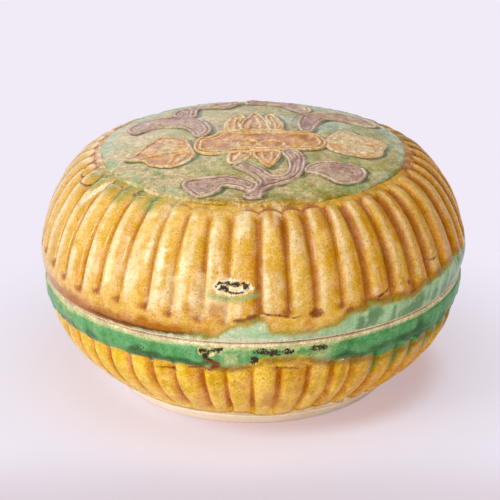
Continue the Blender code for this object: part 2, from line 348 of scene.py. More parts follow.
def turned(name, section, steps, closed=False):
    """A piece turned on the wheel: a circle's points laid along the section, then screwed round.

    The section runs so that the clay lies on its right-hand side. Each vertex keeps how far along the
    section it is, which stretch it is on and how its outward normal leans from level.
    """
    deselect()
    bpy.ops.mesh.primitive_circle_add(vertices=len(section))
    piece = bpy.context.object
    piece.name = piece.data.name = name
    if not closed:
        ends = {0, len(section) - 1}
        clear_selection("EDGE")
        for edge in piece.data.edges:
            edge.select = set(edge.vertices) == ends
        delete_selected("EDGE_FACE")
    radius, height, mark = section.T
    write_points(piece, np.stack([radius, 0 * radius, height], axis=1))
    steps_out = np.hypot(np.diff(radius), np.diff(height))
    keep_field(piece, "along", np.concatenate([[0], np.cumsum(steps_out)]))
    keep_field(piece, "stretch", mark)
    keep_field(piece, "lean", np.arctan2(np.gradient(radius), -np.gradient(height)))
    wheel = piece.modifiers.new("Wheel", "SCREW")
    wheel.steps = wheel.render_steps = steps
    wheel.use_merge_vertices = True
    wheel.merge_threshold = MERGE_DISTANCE * MM
    bpy.ops.object.modifier_apply(modifier=wheel.name)
    smooth_outside()
    return piece


def finish_piece(piece, material, body, slot, *nodes):
    """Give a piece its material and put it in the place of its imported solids."""
    piece.data.materials.clear()
    piece.data.materials.append(material)
    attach(piece, body)
    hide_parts(*nodes)


# Glaze materials

# Half the width over which a painted layer's border fades, from 0 to 0.5
SOFT = 0.5
CRISP = 0.14

# Places of a mix node's share and colours among its sockets
MIX_COLOUR_INPUTS = (0, 6, 7)
MIX_COLOUR_OUTPUT = 2

BUMP_DEPTH = 0.2
BUMP_STRENGTH = 0.5
SPECK = screen(150, 80, 0)


class Glaze:
    """A material's nodes, with short calls that add and join them."""

    def __init__(self, name):
        self.material = bpy.data.materials.new(name)
        self.material.use_nodes = True
        self.nodes = self.material.node_tree.nodes
        self.links = self.material.node_tree.links
        self.shader = self.nodes["Principled BSDF"]
        self.place = self.nodes.new("ShaderNodeTexCoord").outputs["Object"]

    def fill(self, socket, value):
        """Join a socket to another node's output, or set its number or colour."""
        if isinstance(value, bpy.types.NodeSocket):
            self.links.new(value, socket)
        elif isinstance(value, tuple):
            socket.default_value = (*value, 1)
        else:
            socket.default_value = value

    def math(self, operation, first, second=0.0):
        """A sum, product or other operation on two numbers."""
        node = self.nodes.new("ShaderNodeMath")
        node.operation = operation
        self.fill(node.inputs[0], first)
        self.fill(node.inputs[1], second)
        return node.outputs[0]

    def mix(self, share, first, second):
        """A colour the given share of the way from the first to the second."""
        node = self.nodes.new("ShaderNodeMix")
        node.data_type = "RGBA"
        for place, value in zip(MIX_COLOUR_INPUTS, (share, first, second)):
            self.fill(node.inputs[place], value)
        return node.outputs[MIX_COLOUR_OUTPUT]

    def ramp(self, value, low, high, to_low=0.0, to_high=1.0):
        """The value taken from one range to another, smoothly and with its ends held."""
        node = self.nodes.new("ShaderNodeMapRange")
        node.interpolation_type = "SMOOTHSTEP"
        for socket, number in zip(node.inputs, (value, low, high, to_low, to_high)):
            self.fill(socket, number)
        return node.outputs[0]

    def field(self, name):
        """A painted field of the piece, or 0 where it has none of that name."""
        node = self.nodes.new("ShaderNodeAttribute")
        node.attribute_name = name
        return node.outputs["Fac"]

    def grain(self, size, detail=3.0):
        """Noise from 0 to 1 with lumps of the given size in millimetres."""
        node = self.nodes.new("ShaderNodeTexNoise")
        self.fill(node.inputs["Vector"], self.place)
        node.inputs["Scale"].default_value = 1 / (size * MM)
        node.inputs["Detail"].default_value = detail
        return node.outputs["Fac"]

    def distance(self, middle):
        """Distance in metres from a middle."""
        node = self.nodes.new("ShaderNodeVectorMath")
        node.operation = "DISTANCE"
        self.fill(node.inputs[0], self.place)
        node.inputs[1].default_value = middle
        return node.outputs["Value"]

    def swing(self, value, amount):
        """Noise from 0 to 1 turned into a swing either side of 0."""
        return self.math("MULTIPLY", self.math("SUBTRACT", value, 0.5), amount)

    def specks(self, size, radius, share):
        """Round dots in a share of the cells of a given size: 1 inside a dot and 0 outside."""
        cells = self.nodes.new("ShaderNodeTexVoronoi")
        self.fill(cells.inputs["Vector"], self.place)
        cells.inputs["Scale"].default_value = 1 / (size * MM)
        inside = self.ramp(cells.outputs["Distance"], 0.3 * radius / size, radius / size, 1.0, 0.0)
        split = self.nodes.new("ShaderNodeSeparateColor")
        self.fill(split.inputs[0], cells.outputs["Color"])
        return self.math("MULTIPLY", inside, self.math("LESS_THAN", split.outputs[0], share))

    def lightness(self, colour, value, saturation=1.0):
        """The colour made lighter or darker, and fuller or paler, by factors."""
        node = self.nodes.new("ShaderNodeHueSaturation")
        self.fill(node.inputs["Color"], colour)
        self.fill(node.inputs["Value"], value)
        self.fill(node.inputs["Saturation"], saturation)
        return node.outputs["Color"]

    def relief(self, height, depth):
        """Fine bumps of the given depth in millimetres."""
        node = self.nodes.new("ShaderNodeBump")
        node.inputs["Distance"].default_value = depth * MM
        node.inputs["Strength"].default_value = BUMP_STRENGTH
        self.fill(node.inputs["Height"], height)
        self.fill(self.shader.inputs["Normal"], node.outputs[0])


# Sizes of the glaze's mottling, in millimetres
FINE_GRAIN = 0.55
MEDIUM_GRAIN = 1.8
BROAD_GRAIN = 6.0
RAGGED_GRAIN = 0.6
UNEVEN_GRAIN = 2.4

# Pinholes: size of a cell and radius of a hole in millimetres, and the share of cells that have one
DUST = (0.9, 0.42, 0.6)
PINHOLES = (2.4, 0.55, 0.45)
PINHOLE_STRENGTH = 0.85

# How the lining, the bare clay and the matt places differ from the rest of a glaze
LINING_LIVELINESS = 0.35
CLAY_ROUGHNESS = 0.85
MATT_SHINE = 0.35
GLAZE_IOR = 1.55

# Bare clay: sizes in millimetres, specks as for pinholes, and colours
GRIT = 0.5
STAIN_SIZE = 9.0
IRON_SPECKS = (2.2, 0.28, 0.25)
CLAY_STAIN = screen(252, 232, 200)
IRON = screen(160, 116, 80)


def torn(glaze, ragged, amount, softness):
    """A painted amount with its border torn by ragged noise, the more so the crisper it is."""
    border = glaze.math("MULTIPLY", amount, glaze.math("SUBTRACT", 1.0, amount))
    tear = glaze.math("MULTIPLY", border, 3.8 * (1 - 1.3 * softness))
    broken = glaze.math("ADD", amount, glaze.math("MULTIPLY", ragged, tear))
    return glaze.ramp(broken, 0.5 - softness, 0.5 + softness)


def pinholed(glaze, colour, medium, pits):
    """The colour with fine dust and larger pinholes in it."""
    dust = glaze.math("MULTIPLY", glaze.specks(*DUST), glaze.ramp(medium, 0.4, 0.6, 0.3, 0.85))
    holes = glaze.math("MAXIMUM", dust, glaze.specks(*PINHOLES))
    holes = glaze.math("MULTIPLY", holes, pits * PINHOLE_STRENGTH)
    return glaze.mix(holes, colour, glaze.mix(0.3, glaze.lightness(colour, 0.4, 1.8), SPECK))


def lead_glaze(name, base, layers, gloss=0.24, mottle=0.26, pits=0.8, shine=0.42, partly_matt=True):
    """A lead glaze: a base colour, painted layers over it, mottling, pinholes and an uneven gloss.

    Each layer is a painted field's name, a colour and how soft its border is. Clay is dull where the
    field called bare says so, and a partly matt glaze shines less where the field called matt does.
    """
    glaze = Glaze(name)
    fine = glaze.grain(FINE_GRAIN, 3.0)
    medium = glaze.grain(MEDIUM_GRAIN, 4.0)
    broad = glaze.grain(BROAD_GRAIN, 4.0)
    ragged = glaze.math("ADD", glaze.swing(medium, 1.3), glaze.swing(glaze.grain(RAGGED_GRAIN, 4.0), 1.7))
    colour = base
    for field, layer, softness in layers:
        colour = glaze.mix(torn(glaze, ragged, glaze.field(field), softness), colour, layer)
    coarse = glaze.math("ADD", glaze.swing(medium, 0.8), glaze.swing(broad, 0.7))
    lively = glaze.math("ADD", glaze.swing(fine, 0.9), coarse)
    calm = glaze.ramp(glaze.field("lining"), 0.0, 1.0, 1.0, LINING_LIVELINESS)
    lively = glaze.math("MULTIPLY", lively, calm)
    lit = glaze.ramp(lively, -0.3, 0.3, 1 - mottle, 1 + 0.6 * mottle)
    fullness = glaze.ramp(lively, -0.3, 0.3, 1 + 0.5 * mottle, 1 - 0.6 * mottle)
    colour = glaze.lightness(colour, lit, fullness)
    glaze.fill(glaze.shader.inputs["Base Color"], pinholed(glaze, colour, medium, pits))
    patchy = glaze.ramp(broad, 0.3, 0.7, gloss, gloss + 0.12)
    dull = glaze.math("MULTIPLY", glaze.ramp(glaze.field("bare"), 0.3, 0.8), CLAY_ROUGHNESS)
    glaze.fill(glaze.shader.inputs["Roughness"], glaze.math("MAXIMUM", patchy, dull))
    uneven = glaze.math("ADD", glaze.swing(glaze.grain(UNEVEN_GRAIN, 2.0), 1.0), glaze.swing(fine, 0.45))
    glaze.relief(uneven, BUMP_DEPTH)
    glaze.shader.inputs["IOR"].default_value = GLAZE_IOR
    specular = glaze.shader.inputs["Specular IOR Level"]
    specular.default_value = shine
    if partly_matt:
        glaze.fill(specular, glaze.ramp(glaze.field("matt"), 0.0, 1.0, shine, MATT_SHINE * shine))
    return glaze.material


def bare_clay(name):
    """Unglazed buff clay with grit, stains and a few iron specks."""
    glaze = Glaze(name)
    grit = glaze.grain(GRIT, 4.0)
    stain = glaze.ramp(glaze.grain(STAIN_SIZE, 4.0), 0.45, 0.75)
    colour = glaze.mix(stain, tint("clay"), CLAY_STAIN)
    colour = glaze.mix(glaze.specks(*IRON_SPECKS), colour, IRON)
    colour = glaze.lightness(colour, glaze.ramp(grit, 0.3, 0.7, 0.94, 1.03))
    glaze.fill(glaze.shader.inputs["Base Color"], colour)
    glaze.fill(glaze.shader.inputs["Roughness"], glaze.ramp(grit, 0.3, 0.7, 0.75, 0.92))
    glaze.relief(grit, BUMP_DEPTH)
    return glaze.material


# Fluting

# The mesh: steps round each rib, and how closely they crowd into the grooves, from 0 to 1
STEPS_PER_RIB = 14
CROWDING = 0.55

# How far grooves stray from their even places, in shares of a rib
GROOVE_JITTER = 0.08
GROOVE_WANDER = 0.06

# Where a rib's crest lies, in half widths left of its middle, and powers of its fall to either side
CREST_SKEW = 0.56
LEFT_FALL = 2
RIGHT_FALL = 1.7

# How much the ribs differ in fullness, as a share
RIB_VARIETY = 0.35

# Ends of the ribs: roundness, dip and differences in the grooves' length, in millimetres
TIP_ROUNDING = 2.4
TIP_DIP = 0.6
GROOVE_END_SPREAD = 1.8

# Noise on the ribs: its step from groove to groove, its length in millimetres, and its spread round the wall
LIVELY_STEP = 7.3
LIVELY_LENGTH = 16
WANDER_STEP = 3.7
WANDER_LENGTH = 20
STREAKS_ROUND = 40
STREAK_LENGTH = 14


class Ribs:
    """The ribs round a turned wall: where each point lies across its rib, and how deep under the crest.

    The tips are places along the section. The seed keeps one wall's random ribs from being another's.
    """

    def __init__(self, points, along, count, phase, tips, fades, seed, widening=1.0, flatness=0.0):
        first = math.radians(phase) - math.pi / 2
        turn = (np.arctan2(points[:, 1], points[:, 0]) - first) / math.tau % 1 * count
        rib = np.floor(turn).astype(int) % count
        across = turn - np.floor(turn)
        across = across - CROWDING * np.sin(math.tau * across) / math.tau
        after = (rib + 1) % count
        random = np.random.default_rng(seed)
        jitter = random.uniform(-GROOVE_JITTER, GROOVE_JITTER, count)
        fullness = random.uniform(1 - RIB_VARIETY, 1 + RIB_VARIETY, count)
        shortness = random.uniform(-GROOVE_END_SPREAD, GROOVE_END_SPREAD, count)
        left = rib + jitter[rib] + self.wander(rib, along, seed)
        right = rib + 1 + jitter[after] + self.wander(after, along, seed)
        self.angle = first + (left + across * (right - left)) / count * math.tau
        width = (right - left) / count * math.tau * np.hypot(points[:, 0], points[:, 1])
        groove = np.where(across < 0.5, rib, after)
        places = np.stack([groove * LIVELY_STEP, along / LIVELY_LENGTH, 0 * along], axis=1)
        self.lively = noise(places, 1.0, seed + 5)
        strands = STREAKS_ROUND * np.stack([np.cos(self.angle), np.sin(self.angle)], axis=1)
        self.streak = cloud(np.column_stack([strands, along / STREAK_LENGTH]), 1.0, seed + 7)
        self.side = 2 * across - 1
        self.find_ends(along, tips, fades, shortness[groove])
        from_left = across * width
        from_right = (1 - across) * width
        half = sizes().groove_width / MM * (1 + 0.25 * self.lively) * widening
        self.groove = bell(np.minimum(from_left, from_right), half)
        skewed = self.side + CREST_SKEW
        # The shoulder marks each rib's left shoulder, which faces the lamps on the left, where straw is laid
        # as a painted highlight. The slope marks each rib's right-hand slope, where toffee is laid as
        # painted shade, and a strip beside its left groove where glaze pools
        self.shoulder = bell(skewed - 0.12, 0.34)
        self.slope = np.maximum(ease(-0.2, 1.0, self.side), 0.8 * np.exp(-from_left / half))
        fall_left = (skewed / (1 - CREST_SKEW)) ** LEFT_FALL
        fall_right = (np.abs(skewed) / (1 + CREST_SKEW)) ** RIGHT_FALL
        fall = np.where(skewed < 0, fall_left, fall_right)
        depth = sizes().groove_depth / MM * (1 + 0.35 * self.lively) * self.groove / np.sqrt(widening)
        depth = depth * (1 - 0.45 * flatness)
        crown = sizes().rib_crown / MM * fall * fullness[rib] * (1 - 0.7 * flatness)
        dip = TIP_DIP * bell(np.minimum(self.from_first, 0), 1.8) * ease(0.8, -0.8, self.from_first)
        self.sink = self.inside * (depth + crown) + dip

    def find_ends(self, along, tips, fades, shortness):
        """Measure from the ribs' rounded tips, and fade the ribs in and out there."""
        first_tip, last_tip = tips
        first_fade, last_fade = fades
        curl = TIP_ROUNDING * (1 - np.sqrt(1 - np.clip(self.side**2, 0, 1)))
        self.from_first = along - (first_tip + curl)
        self.from_last = last_tip - along + shortness
        self.inside = ease(-0.8, first_fade - 0.8, self.from_first)
        self.inside = self.inside * ease(-0.3 * last_fade, 0.7 * last_fade, self.from_last)

    @staticmethod
    def wander(groove, along, seed):
        """Sideways wander of a groove along its length, in shares of a rib."""
        places = np.stack([groove * WANDER_STEP, along / WANDER_LENGTH, 0 * along], axis=1)
        return GROOVE_WANDER * noise(places, 1.0, seed + 9)


def apart(first, second):
    """Degrees from one bearing to another, the short way round."""
    return (first - second + 180) % 360 - 180


class Wall:
    """Places on a turned wall, for marks that are given by bearing from the front and by height."""

    def __init__(self, points):
        self.points = points
        self.bearing = np.degrees(np.arctan2(points[:, 0], -points[:, 1]))
        self.radius = np.hypot(points[:, 0], points[:, 1])
        self.height = points[:, 2]

    def level(self):
        """Heights with the seam's slope taken out."""
        return self.height - SEAM_SLOPE * self.points[:, 0] * bell(self.height - SEAM_HEIGHT, SEAM_FADE)

    def oval(self, bearing, height, half_width, half_height):
        """0 in the middle of an oval mark, 1 on its edge."""
        sideways = np.radians(apart(self.bearing, bearing)) * self.radius
        return np.hypot(sideways / half_width, (self.height - height) / half_height)

    def line(self, route):
        """Distance in millimetres from a line through bearing and height points."""
        nearest = np.full(len(self.height), FAR)
        for (bearing, height), (next_bearing, next_height) in zip(route, route[1:]):
            x = np.radians(apart(self.bearing, bearing)) * self.radius
            y = self.height - height
            run = np.radians(next_bearing - bearing) * self.radius
            rise = next_height - height
            share = np.clip((x * run + y * rise) / np.maximum(run**2 + rise**2, TINY), 0, 1)
            nearest = np.minimum(nearest, np.hypot(x - share * run, y - share * rise))
        return nearest

    def border(self, stops):
        """Height of a glaze border that is given at bearings all the way round."""
        bearings, heights = np.array(stops).T
        return np.interp(self.bearing, bearings, heights, period=360)

    def between(self, first, last, fade):
        """1 between two bearings, fading to 0 over some degrees inside them."""
        return ease(0, fade, apart(self.bearing, first)) * ease(0, fade, apart(last, self.bearing))


def flute(piece, ribs, outside, extra_sink):
    """Move a turned piece's points round to their ribs and sink its outer wall along the normal."""
    points = read_points(piece)
    lean = read_field(piece, "lean")
    sink = np.where(outside, np.maximum(ribs.sink + extra_sink, 0), 0)
    radius = np.hypot(points[:, 0], points[:, 1]) - sink * np.cos(lean)
    height = points[:, 2] - sink * np.sin(lean)
    points = np.stack([radius * np.cos(ribs.angle), radius * np.sin(ribs.angle), height], axis=1)
    points[:, 2] += SEAM_SLOPE * points[:, 0] * bell(height - SEAM_HEIGHT, SEAM_FADE)
    write_points(piece, points)
    return points


def section_place(section, stretch, height):
    """How far along a section one of its stretches passes a height."""
    along = np.concatenate([[0], np.cumsum(np.hypot(np.diff(section[:, 0]), np.diff(section[:, 1])))])
    chosen = section[:, 2] == stretch
    order = np.argsort(section[chosen, 1])
    return np.interp(height, section[chosen, 1][order], along[chosen][order])


# Bowl

BOWL_INSIDE, BOWL_MOUTH, BOWL_LIP, BOWL_BAND, BOWL_RIBBED, BOWL_UNDER = range(6)


def bowl_radius(height):
    """Crest radius of the bowl's ribs."""
    share = np.clip((height - BOWL_BASE) / (BOWL_SHOULDER - BOWL_BASE), 0, 1)
    climb = 1 - (1 - share) ** BOWL_CURVE_POWER
    return FOOT_TOP_RADIUS + (BOWL_SHOULDER_RADIUS - FOOT_TOP_RADIUS) * climb


def bowl_section():
    """The bowl from the middle of its floor, up the inside, over the rim and down to the base."""
    floor = BOWL_BASE + BOWL_FLOOR
    hollow = COLLAR_RADIUS - COLLAR_WALL
    ledge = COLLAR_LOW - COLLAR_GAP
    mouth = COLLAR_RADIUS + COLLAR_GAP
    climb = np.linspace(floor, BOWL_SHOULDER, 30)
    inner = np.stack([np.minimum(hollow, bowl_radius(climb) - BOWL_WALL), climb], axis=1)
    inside = rounded([(0, floor), (inner[0][0] - 2, floor), inner[4]], 1.8)
    inside = np.concatenate([inside, inner[5:], [(hollow, ledge)]])
    step = [(hollow, ledge), (mouth, ledge), (mouth, ledge + 4)]
    lip_end = BOWL_RIM - LIP_HEIGHT
    lip = rounded([step[-1], (mouth, BOWL_RIM), (SEAM_RADIUS, BOWL_RIM), (SEAM_RADIUS, lip_end)], 0.7)
    heights = np.linspace(lip_end, BOWL_BAND_LOW, 20)
    swell = np.sin((heights - BOWL_BAND_LOW) / (BOWL_RIM - BOWL_BAND_LOW) * math.pi)
    band = np.stack([SEAM_RADIUS + BOWL_BAND_BULGE * swell, heights], axis=1)
    ribbed = np.linspace(BOWL_SHOULDER, BOWL_BASE, 80)
    ribbed = np.stack([bowl_radius(ribbed), ribbed], axis=1)
    shoulder = rounded([band[-4], band[-1], ribbed[0], ribbed[8]], 0.8)
    under = [(FOOT_TOP_RADIUS, BOWL_BASE), (FOOT_RADIUS - FOOT_WIDTH, BOWL_BASE), (0, BOWL_BASE)]
    return joined(
        evenly(inside, LINING_SPACING),
        evenly(step, STEP_SPACING),
        evenly(lip, LIP_SPACING),
        evenly(band[:-3], WALL_SPACING),
        evenly(np.concatenate([shoulder, ribbed[9:]]), WALL_SPACING),
        evenly(under, UNDER_SPACING),
    )


# Marks on the bowl by bearing from the front in degrees and height in millimetres: a route's places, an
# oval's middle and half sizes, a blister's middle and radius, or a glaze border's height
BOWL_CHIP = ((-14, 38.4), (-11.4, 38.2), (-12.3, 35.6), (-10, 33.6), (-10.4, 31.6))
BOWL_CHIP_SPUR = ((-11.4, 38.2), (-8.8, 39.4))
BOWL_CRUSTS = (
    (2.4, 38.8, 2.8, 1.0), (5.4, 38.3, 3.0, 1.1), (8.6, 38.5, 2.2, 1.0), (0.3, 35.8, 1.6, 1.5),
    (17.2, 38.9, 2.8, 1.1), (118, 36.0, 3.2, 1.3), (-140, 35.0, 2.2, 1.2), (-96, 37.6, 1.6, 0.9),
    (-88, 31.4, 1.2, 0.8), (-84, 27.0, 1.2, 0.8), (86, 26.0, 1.2, 0.8),
)
BOWL_BLISTERS = (
    (14.3, 37.8, 0.9), (-3.2, 37.0, 0.9), (25.0, 35.1, 0.6), (21.6, 36.5, 0.6), (-30, 36.2, 0.7),
    (28, 38.3, 0.5), (150, 37.0, 0.8), (-120, 34.5, 0.8), (84, 36.5, 0.7),
)
BOWL_CRACKS = (
    ((-17, 31.0), (-13.4, 31.2), (-11, 30.6)), ((-27, 28.6), (-23.5, 29.4), (-21, 28.8)),
    ((6, 31.4), (9, 31.8), (12, 31.2)), ((28, 31.6), (31, 32.4)), ((170, 30.8), (176, 31.6)),
)
BOWL_AMBER_RUNS = (
    (-180, 30), (-110, 30), (-100, 33.5), (-92, 31), (-30, 29), (-13, 29.5), (-9, 31.5), (-2.5, 33.4),
    (3, 36.2), (7.8, 36.6), (14.2, 35.8), (17.6, 33.8), (22.4, 31.5), (27, 29), (90, 29), (112, 32),
    (125, 34.5), (140, 31), (160, 29),
)
BOWL_GLAZE_FEET = (
    (-180, 6.4), (-120, 7.4), (-80, 6.2), (-48, 5.8), (-30, 5.6), (-18, 5.8), (-9.6, 6.6), (-2, 7.2),
    (1.8, 4.7), (5, 3.6), (9, 4.0), (14, 6.2), (19, 7.4), (26, 8.4), (40, 7.6), (70, 6.6), (130, 5.6),
)


# Stretches of the bowl's wall: first and last bearing, and the fade inside them, in degrees
BOWL_FLAT_RIBS = (-150, -5, 40)
BOWL_FRONT = (-16, 26, 10)
BOWL_SOFT_GREEN = (-18, 34, 10)
BOWL_LOW_GREEN = (24, 110, 14)
BOWL_FAR_RIGHT = (26, 120, 14)
BOWL_BRIM = (-20, 110, 12)

# Height of the bare rim's lower border in millimetres, seed of the ribs and breadth of the grooves
BOWL_RIM_LINE = 40.5
BOWL_SEED = 3
BOWL_WIDENING = 1.1

# Colours of the bowl beyond those that a user can change
BOWL_YELLOW = screen(250, 206, 24)
BOWL_THICK_AND_SHADED_YELLOW = screen(230, 168, 0)
BOWL_THIN_AND_LIT_YELLOW = screen(252, 217, 102)
BOWL_SLOPE_AMBER = screen(226, 152, 0)
BOWL_GROOVE_BROWN = screen(200, 116, 0)
BRIM_OLIVE = screen(158, 122, 18)
LINING_CREAM = screen(236, 214, 168)
GLAZE_FOOT_BROWN = screen(190, 136, 70)
BOWL_STAIN = screen(138, 72, 26)
SCAR_CLAY = screen(250, 232, 188)
RIM_SHADE = screen(208, 178, 150)


def shape_bowl(piece, section):
    """Flute the bowl's wall, chip its band and give its blisters their rise."""
    along = read_field(piece, "along")
    stretch = read_field(piece, "stretch").round()
    points = read_points(piece)
    tips = [section_place(section, BOWL_RIBBED, tip) for tip in (BOWL_RIB_TOP, BOWL_RIB_LOW)]
    wall = Wall(points)
    flatness = 0.8 * wall.between(*BOWL_FLAT_RIBS)
    count = sizes().bowl_ribs
    ribs = Ribs(points, along, count, BOWL_PHASE, tips, BOWL_RIB_FADES, BOWL_SEED, BOWL_WIDENING, flatness)
    outside = (stretch >= BOWL_BAND) & (stretch <= BOWL_RIBBED)
    uneven = 0.16 * cloud(points, 16, 31) + 0.08 * cloud(points, 4, 32) + 0.1
    chip = np.minimum(wall.line(BOWL_CHIP), wall.line(BOWL_CHIP_SPUR))
    dents = 0.7 * (1 - ease(0.5, 1.5, chip + 0.6 * noise(points, 1.4, 33)))
    for mark in BOWL_CRUSTS:
        dents -= 0.3 * (1 - ease(0.6, 1.3, wall.oval(*mark))) * (1 + 1.4 * noise(points, 0.9, 34))
    for bearing, height, size in BOWL_BLISTERS:
        oval = wall.oval(bearing, height, size, size)
        dents += 0.3 * bell(oval, 0.5) - 0.18 * bell(oval - 1.1, 0.3)
    for route in BOWL_CRACKS:
        dents += 0.35 * bell(wall.line(route) + 0.25 * noise(points, 1.2, 35), 0.4)
    points = flute(piece, ribs, outside, uneven + dents)
    return points, ribs, chip


def bowl_marks(wall, height, chip):
    """Dark crusts and rusty stains at the bowl's chip, blisters and cracks."""
    rough_chip = chip + 0.6 * noise(wall.points, 1.3, 43)
    crust = 0.66 * (1 - ease(0.2, 2.0, rough_chip)) * ease(33.4, 35.4, height)
    stain = 0.9 * (1 - ease(0.3, 1.9, rough_chip)) * ease(36.5, 34.0, height)
    for mark in BOWL_CRUSTS:
        crust = np.maximum(crust, 0.64 * (1 - ease(0.7, 1.7, wall.oval(*mark))))
    for bearing, at, size in BOWL_BLISTERS:
        crust = np.maximum(crust, 0.55 * bell(wall.oval(bearing, at, size, size) - 1.0, 0.35))
    for route in BOWL_CRACKS:
        crack = wall.line(route) + 0.25 * noise(wall.points, 1.2, 35)
        crust = np.maximum(crust, 0.36 * bell(crack, 0.4))
        stain = np.maximum(stain, 0.8 * bell(crack, 0.55))
    return crust, stain


def paint_bowl(piece, points, ribs, chip):
    """Lay the amber, the green band and the bare clay over the bowl, with painted highlights on the ribs'
    left shoulders, and painted shade on their right slopes, on the right-hand side and on the bare rim under
    the lid.
    """
    stretch = read_field(piece, "stretch").round()
    outside = (stretch >= BOWL_LIP) & (stretch <= BOWL_RIBBED)
    wall = Wall(points)
    height = wall.level()
    broad = cloud(points, 12, 41)
    medium = cloud(points, 4, 42)
    left = ease(-10, -70, wall.bearing) * ease(-150, -110, wall.bearing)
    right = np.sin(np.radians(wall.bearing))
    front = wall.between(*BOWL_FRONT)
    far_right = wall.between(*BOWL_FAR_RIGHT)
    above_tips = 0.4 - ribs.from_first + 2.2 * wall.between(*BOWL_LOW_GREEN)
    above_amber = height - wall.border(BOWL_AMBER_RUNS)
    into_green = np.minimum(above_tips, above_amber)
    spread = 1.2 + 1.5 * wall.between(*BOWL_SOFT_GREEN)
    green = ease(-spread, spread, into_green + 0.3 * medium)
    green_runs_and_shade = 0.55 * ease(0.0, 0.8, broad) * ease(27, 31, height) * ribs.groove
    # On the far right the green lies lower and heavier on the ribs' right slopes: partly the glaze itself,
    # partly painted shade on that side
    green_runs_and_shade = np.maximum(green_runs_and_shade, far_right * ease(14, 29, height) * (0.2 + 0.8 * ribs.slope))
    deep = 0.5 * medium + 0.3 * broad + 0.7 * bell(height - 33.6, 2.4) - 0.2 * left - 0.5 * front
    # Painted shade: dark pine on the ribs' right slopes at the far right
    far_right_shade = 0.8 * far_right * ease(18, 30, height) * ribs.slope * ribs.inside
    pale = 1.1 * bell(height - 40.6, 1.2) + 0.35 * broad + 0.3 * left + front * (0.62 + 0.5 * medium)
    brim = wall.between(*BOWL_BRIM) * bell(into_green + 0.9, 1.5) * ease(-0.9, 0.4, medium + 0.3)
    # Honey lies in clouds and streaks, and more of it toward the right as painted shade on that side
    thick = 0.5 * broad + 0.4 * medium + 0.7 * ribs.streak + 0.4 * right
    # Straw on the ribs' left shoulders, more on the left: thin glaze over the edges, plus a painted
    # highlight where they face the lamps
    thin = (0.5 + 0.4 * left) * ribs.shoulder * ease(-0.9, 0.7, medium + ribs.streak) * ribs.inside
    tips = bell(ribs.from_first - 0.2, 0.5) * ease(-0.6, 0.6, medium + 0.4)
    tips = tips * ease(-1.5, 1, -above_amber + 2)
    chip_edge = (1 - ease(0.6, 2.4, chip + 0.6 * medium)) * ease(34.5, 37.5, height)
    feet = wall.border(BOWL_GLAZE_FEET) + 0.5 * medium
    rim_line = BOWL_RIM_LINE + 0.5 * left + 0.2 * broad
    bare = np.maximum(ease(0.7, -0.7, height - feet), ease(-0.5, 0.5, height - rim_line))
    crust, stain = bowl_marks(wall, height, chip)
    paint(
        piece,
        thick=ease(-0.6, 0.6, thick) * ease(5, 14, height) * outside,
        thin=np.maximum(thin, 0.7 * ease(12, 5, height)) * outside,
        # Toffee on the ribs' right slopes and over the far right: painted shade, with glaze pooled beside
        # the grooves
        slope=np.maximum(0.6 * ribs.slope, 0.5 * far_right) * ribs.inside * ease(4, 12, height),
        pool=ribs.groove * ribs.inside * np.clip(0.75 + 0.35 * ribs.lively, 0, 1) * ease(5, 13, height),
        green=np.maximum(green, green_runs_and_shade) * outside,
        deep=np.maximum(green * ease(0.0, 0.9, deep), far_right_shade) * outside,
        pale=green * outside * ease(0.1, 1.3, pale),
        brim=0.8 * brim * outside,
        tips=np.maximum(0.8 * tips * (1 - 0.7 * front), 0.6 * chip_edge) * outside,
        edge=0.7 * bell(height - feet - 0.9, 0.8) * outside,
        matt=np.maximum(ease(0.1, 0.9, right), 0.8 * ribs.groove),
        stain=stain * outside,
        crust=crust * outside,
        # Painted shade on the top of the bare rim, under the lid's overhang
        soil=0.6 * ease(40.2, 40.8, height) * ease(-0.9, 0.5, broad + medium) * outside,
        bare=np.where(outside, bare, np.where(stretch == BOWL_INSIDE, 0, 1)),
        lining=np.where(stretch == BOWL_INSIDE, 1, 0),
    )


class POTTERY_OT_bowl(bpy.types.Operator):
    """Turn, flute and glaze the bowl"""

    bl_idname = "pottery.bowl"
    bl_label = "Fluted bowl"

    def execute(self, context):
        section = bowl_section()
        piece = turned("fluted_bowl", section, STEPS_PER_RIB * sizes().bowl_ribs)
        points, ribs, chip = shape_bowl(piece, section)
        paint_bowl(piece, points, ribs, chip)
        layers = [
            ("thick", BOWL_THICK_AND_SHADED_YELLOW, SOFT),
            ("thin", BOWL_THIN_AND_LIT_YELLOW, SOFT),
            ("slope", BOWL_SLOPE_AMBER, SOFT),
            ("pool", BOWL_GROOVE_BROWN, SOFT),
            ("green", tint("green"), 0.38),
            ("deep", tint("pine"), SOFT),
            ("pale", tint("mint"), SOFT),
            ("brim", BRIM_OLIVE, SOFT),
            ("tips", tint("straw"), CRISP),
            ("lining", LINING_CREAM, CRISP),
            ("edge", GLAZE_FOOT_BROWN, SOFT),
            ("stain", BOWL_STAIN, 0.36),
            ("bare", SCAR_CLAY, CRISP),
            # Painted shade on the bare rim under the lid
            ("soil", RIM_SHADE, SOFT),
            ("crust", tint("umber"), CRISP),
        ]
        material = lead_glaze("amber and green glaze of the bowl", BOWL_YELLOW, layers, shine=0.22)
        finish_piece(piece, material, "box", "amber_glaze", "box_bowl")
        return {"FINISHED"}


# Foot and collar

# The turned rings: steps round them, and spacing and wear in millimetres
RING_STEPS = 360
RING_SPACING = 0.7
RING_WEAR = 0.1


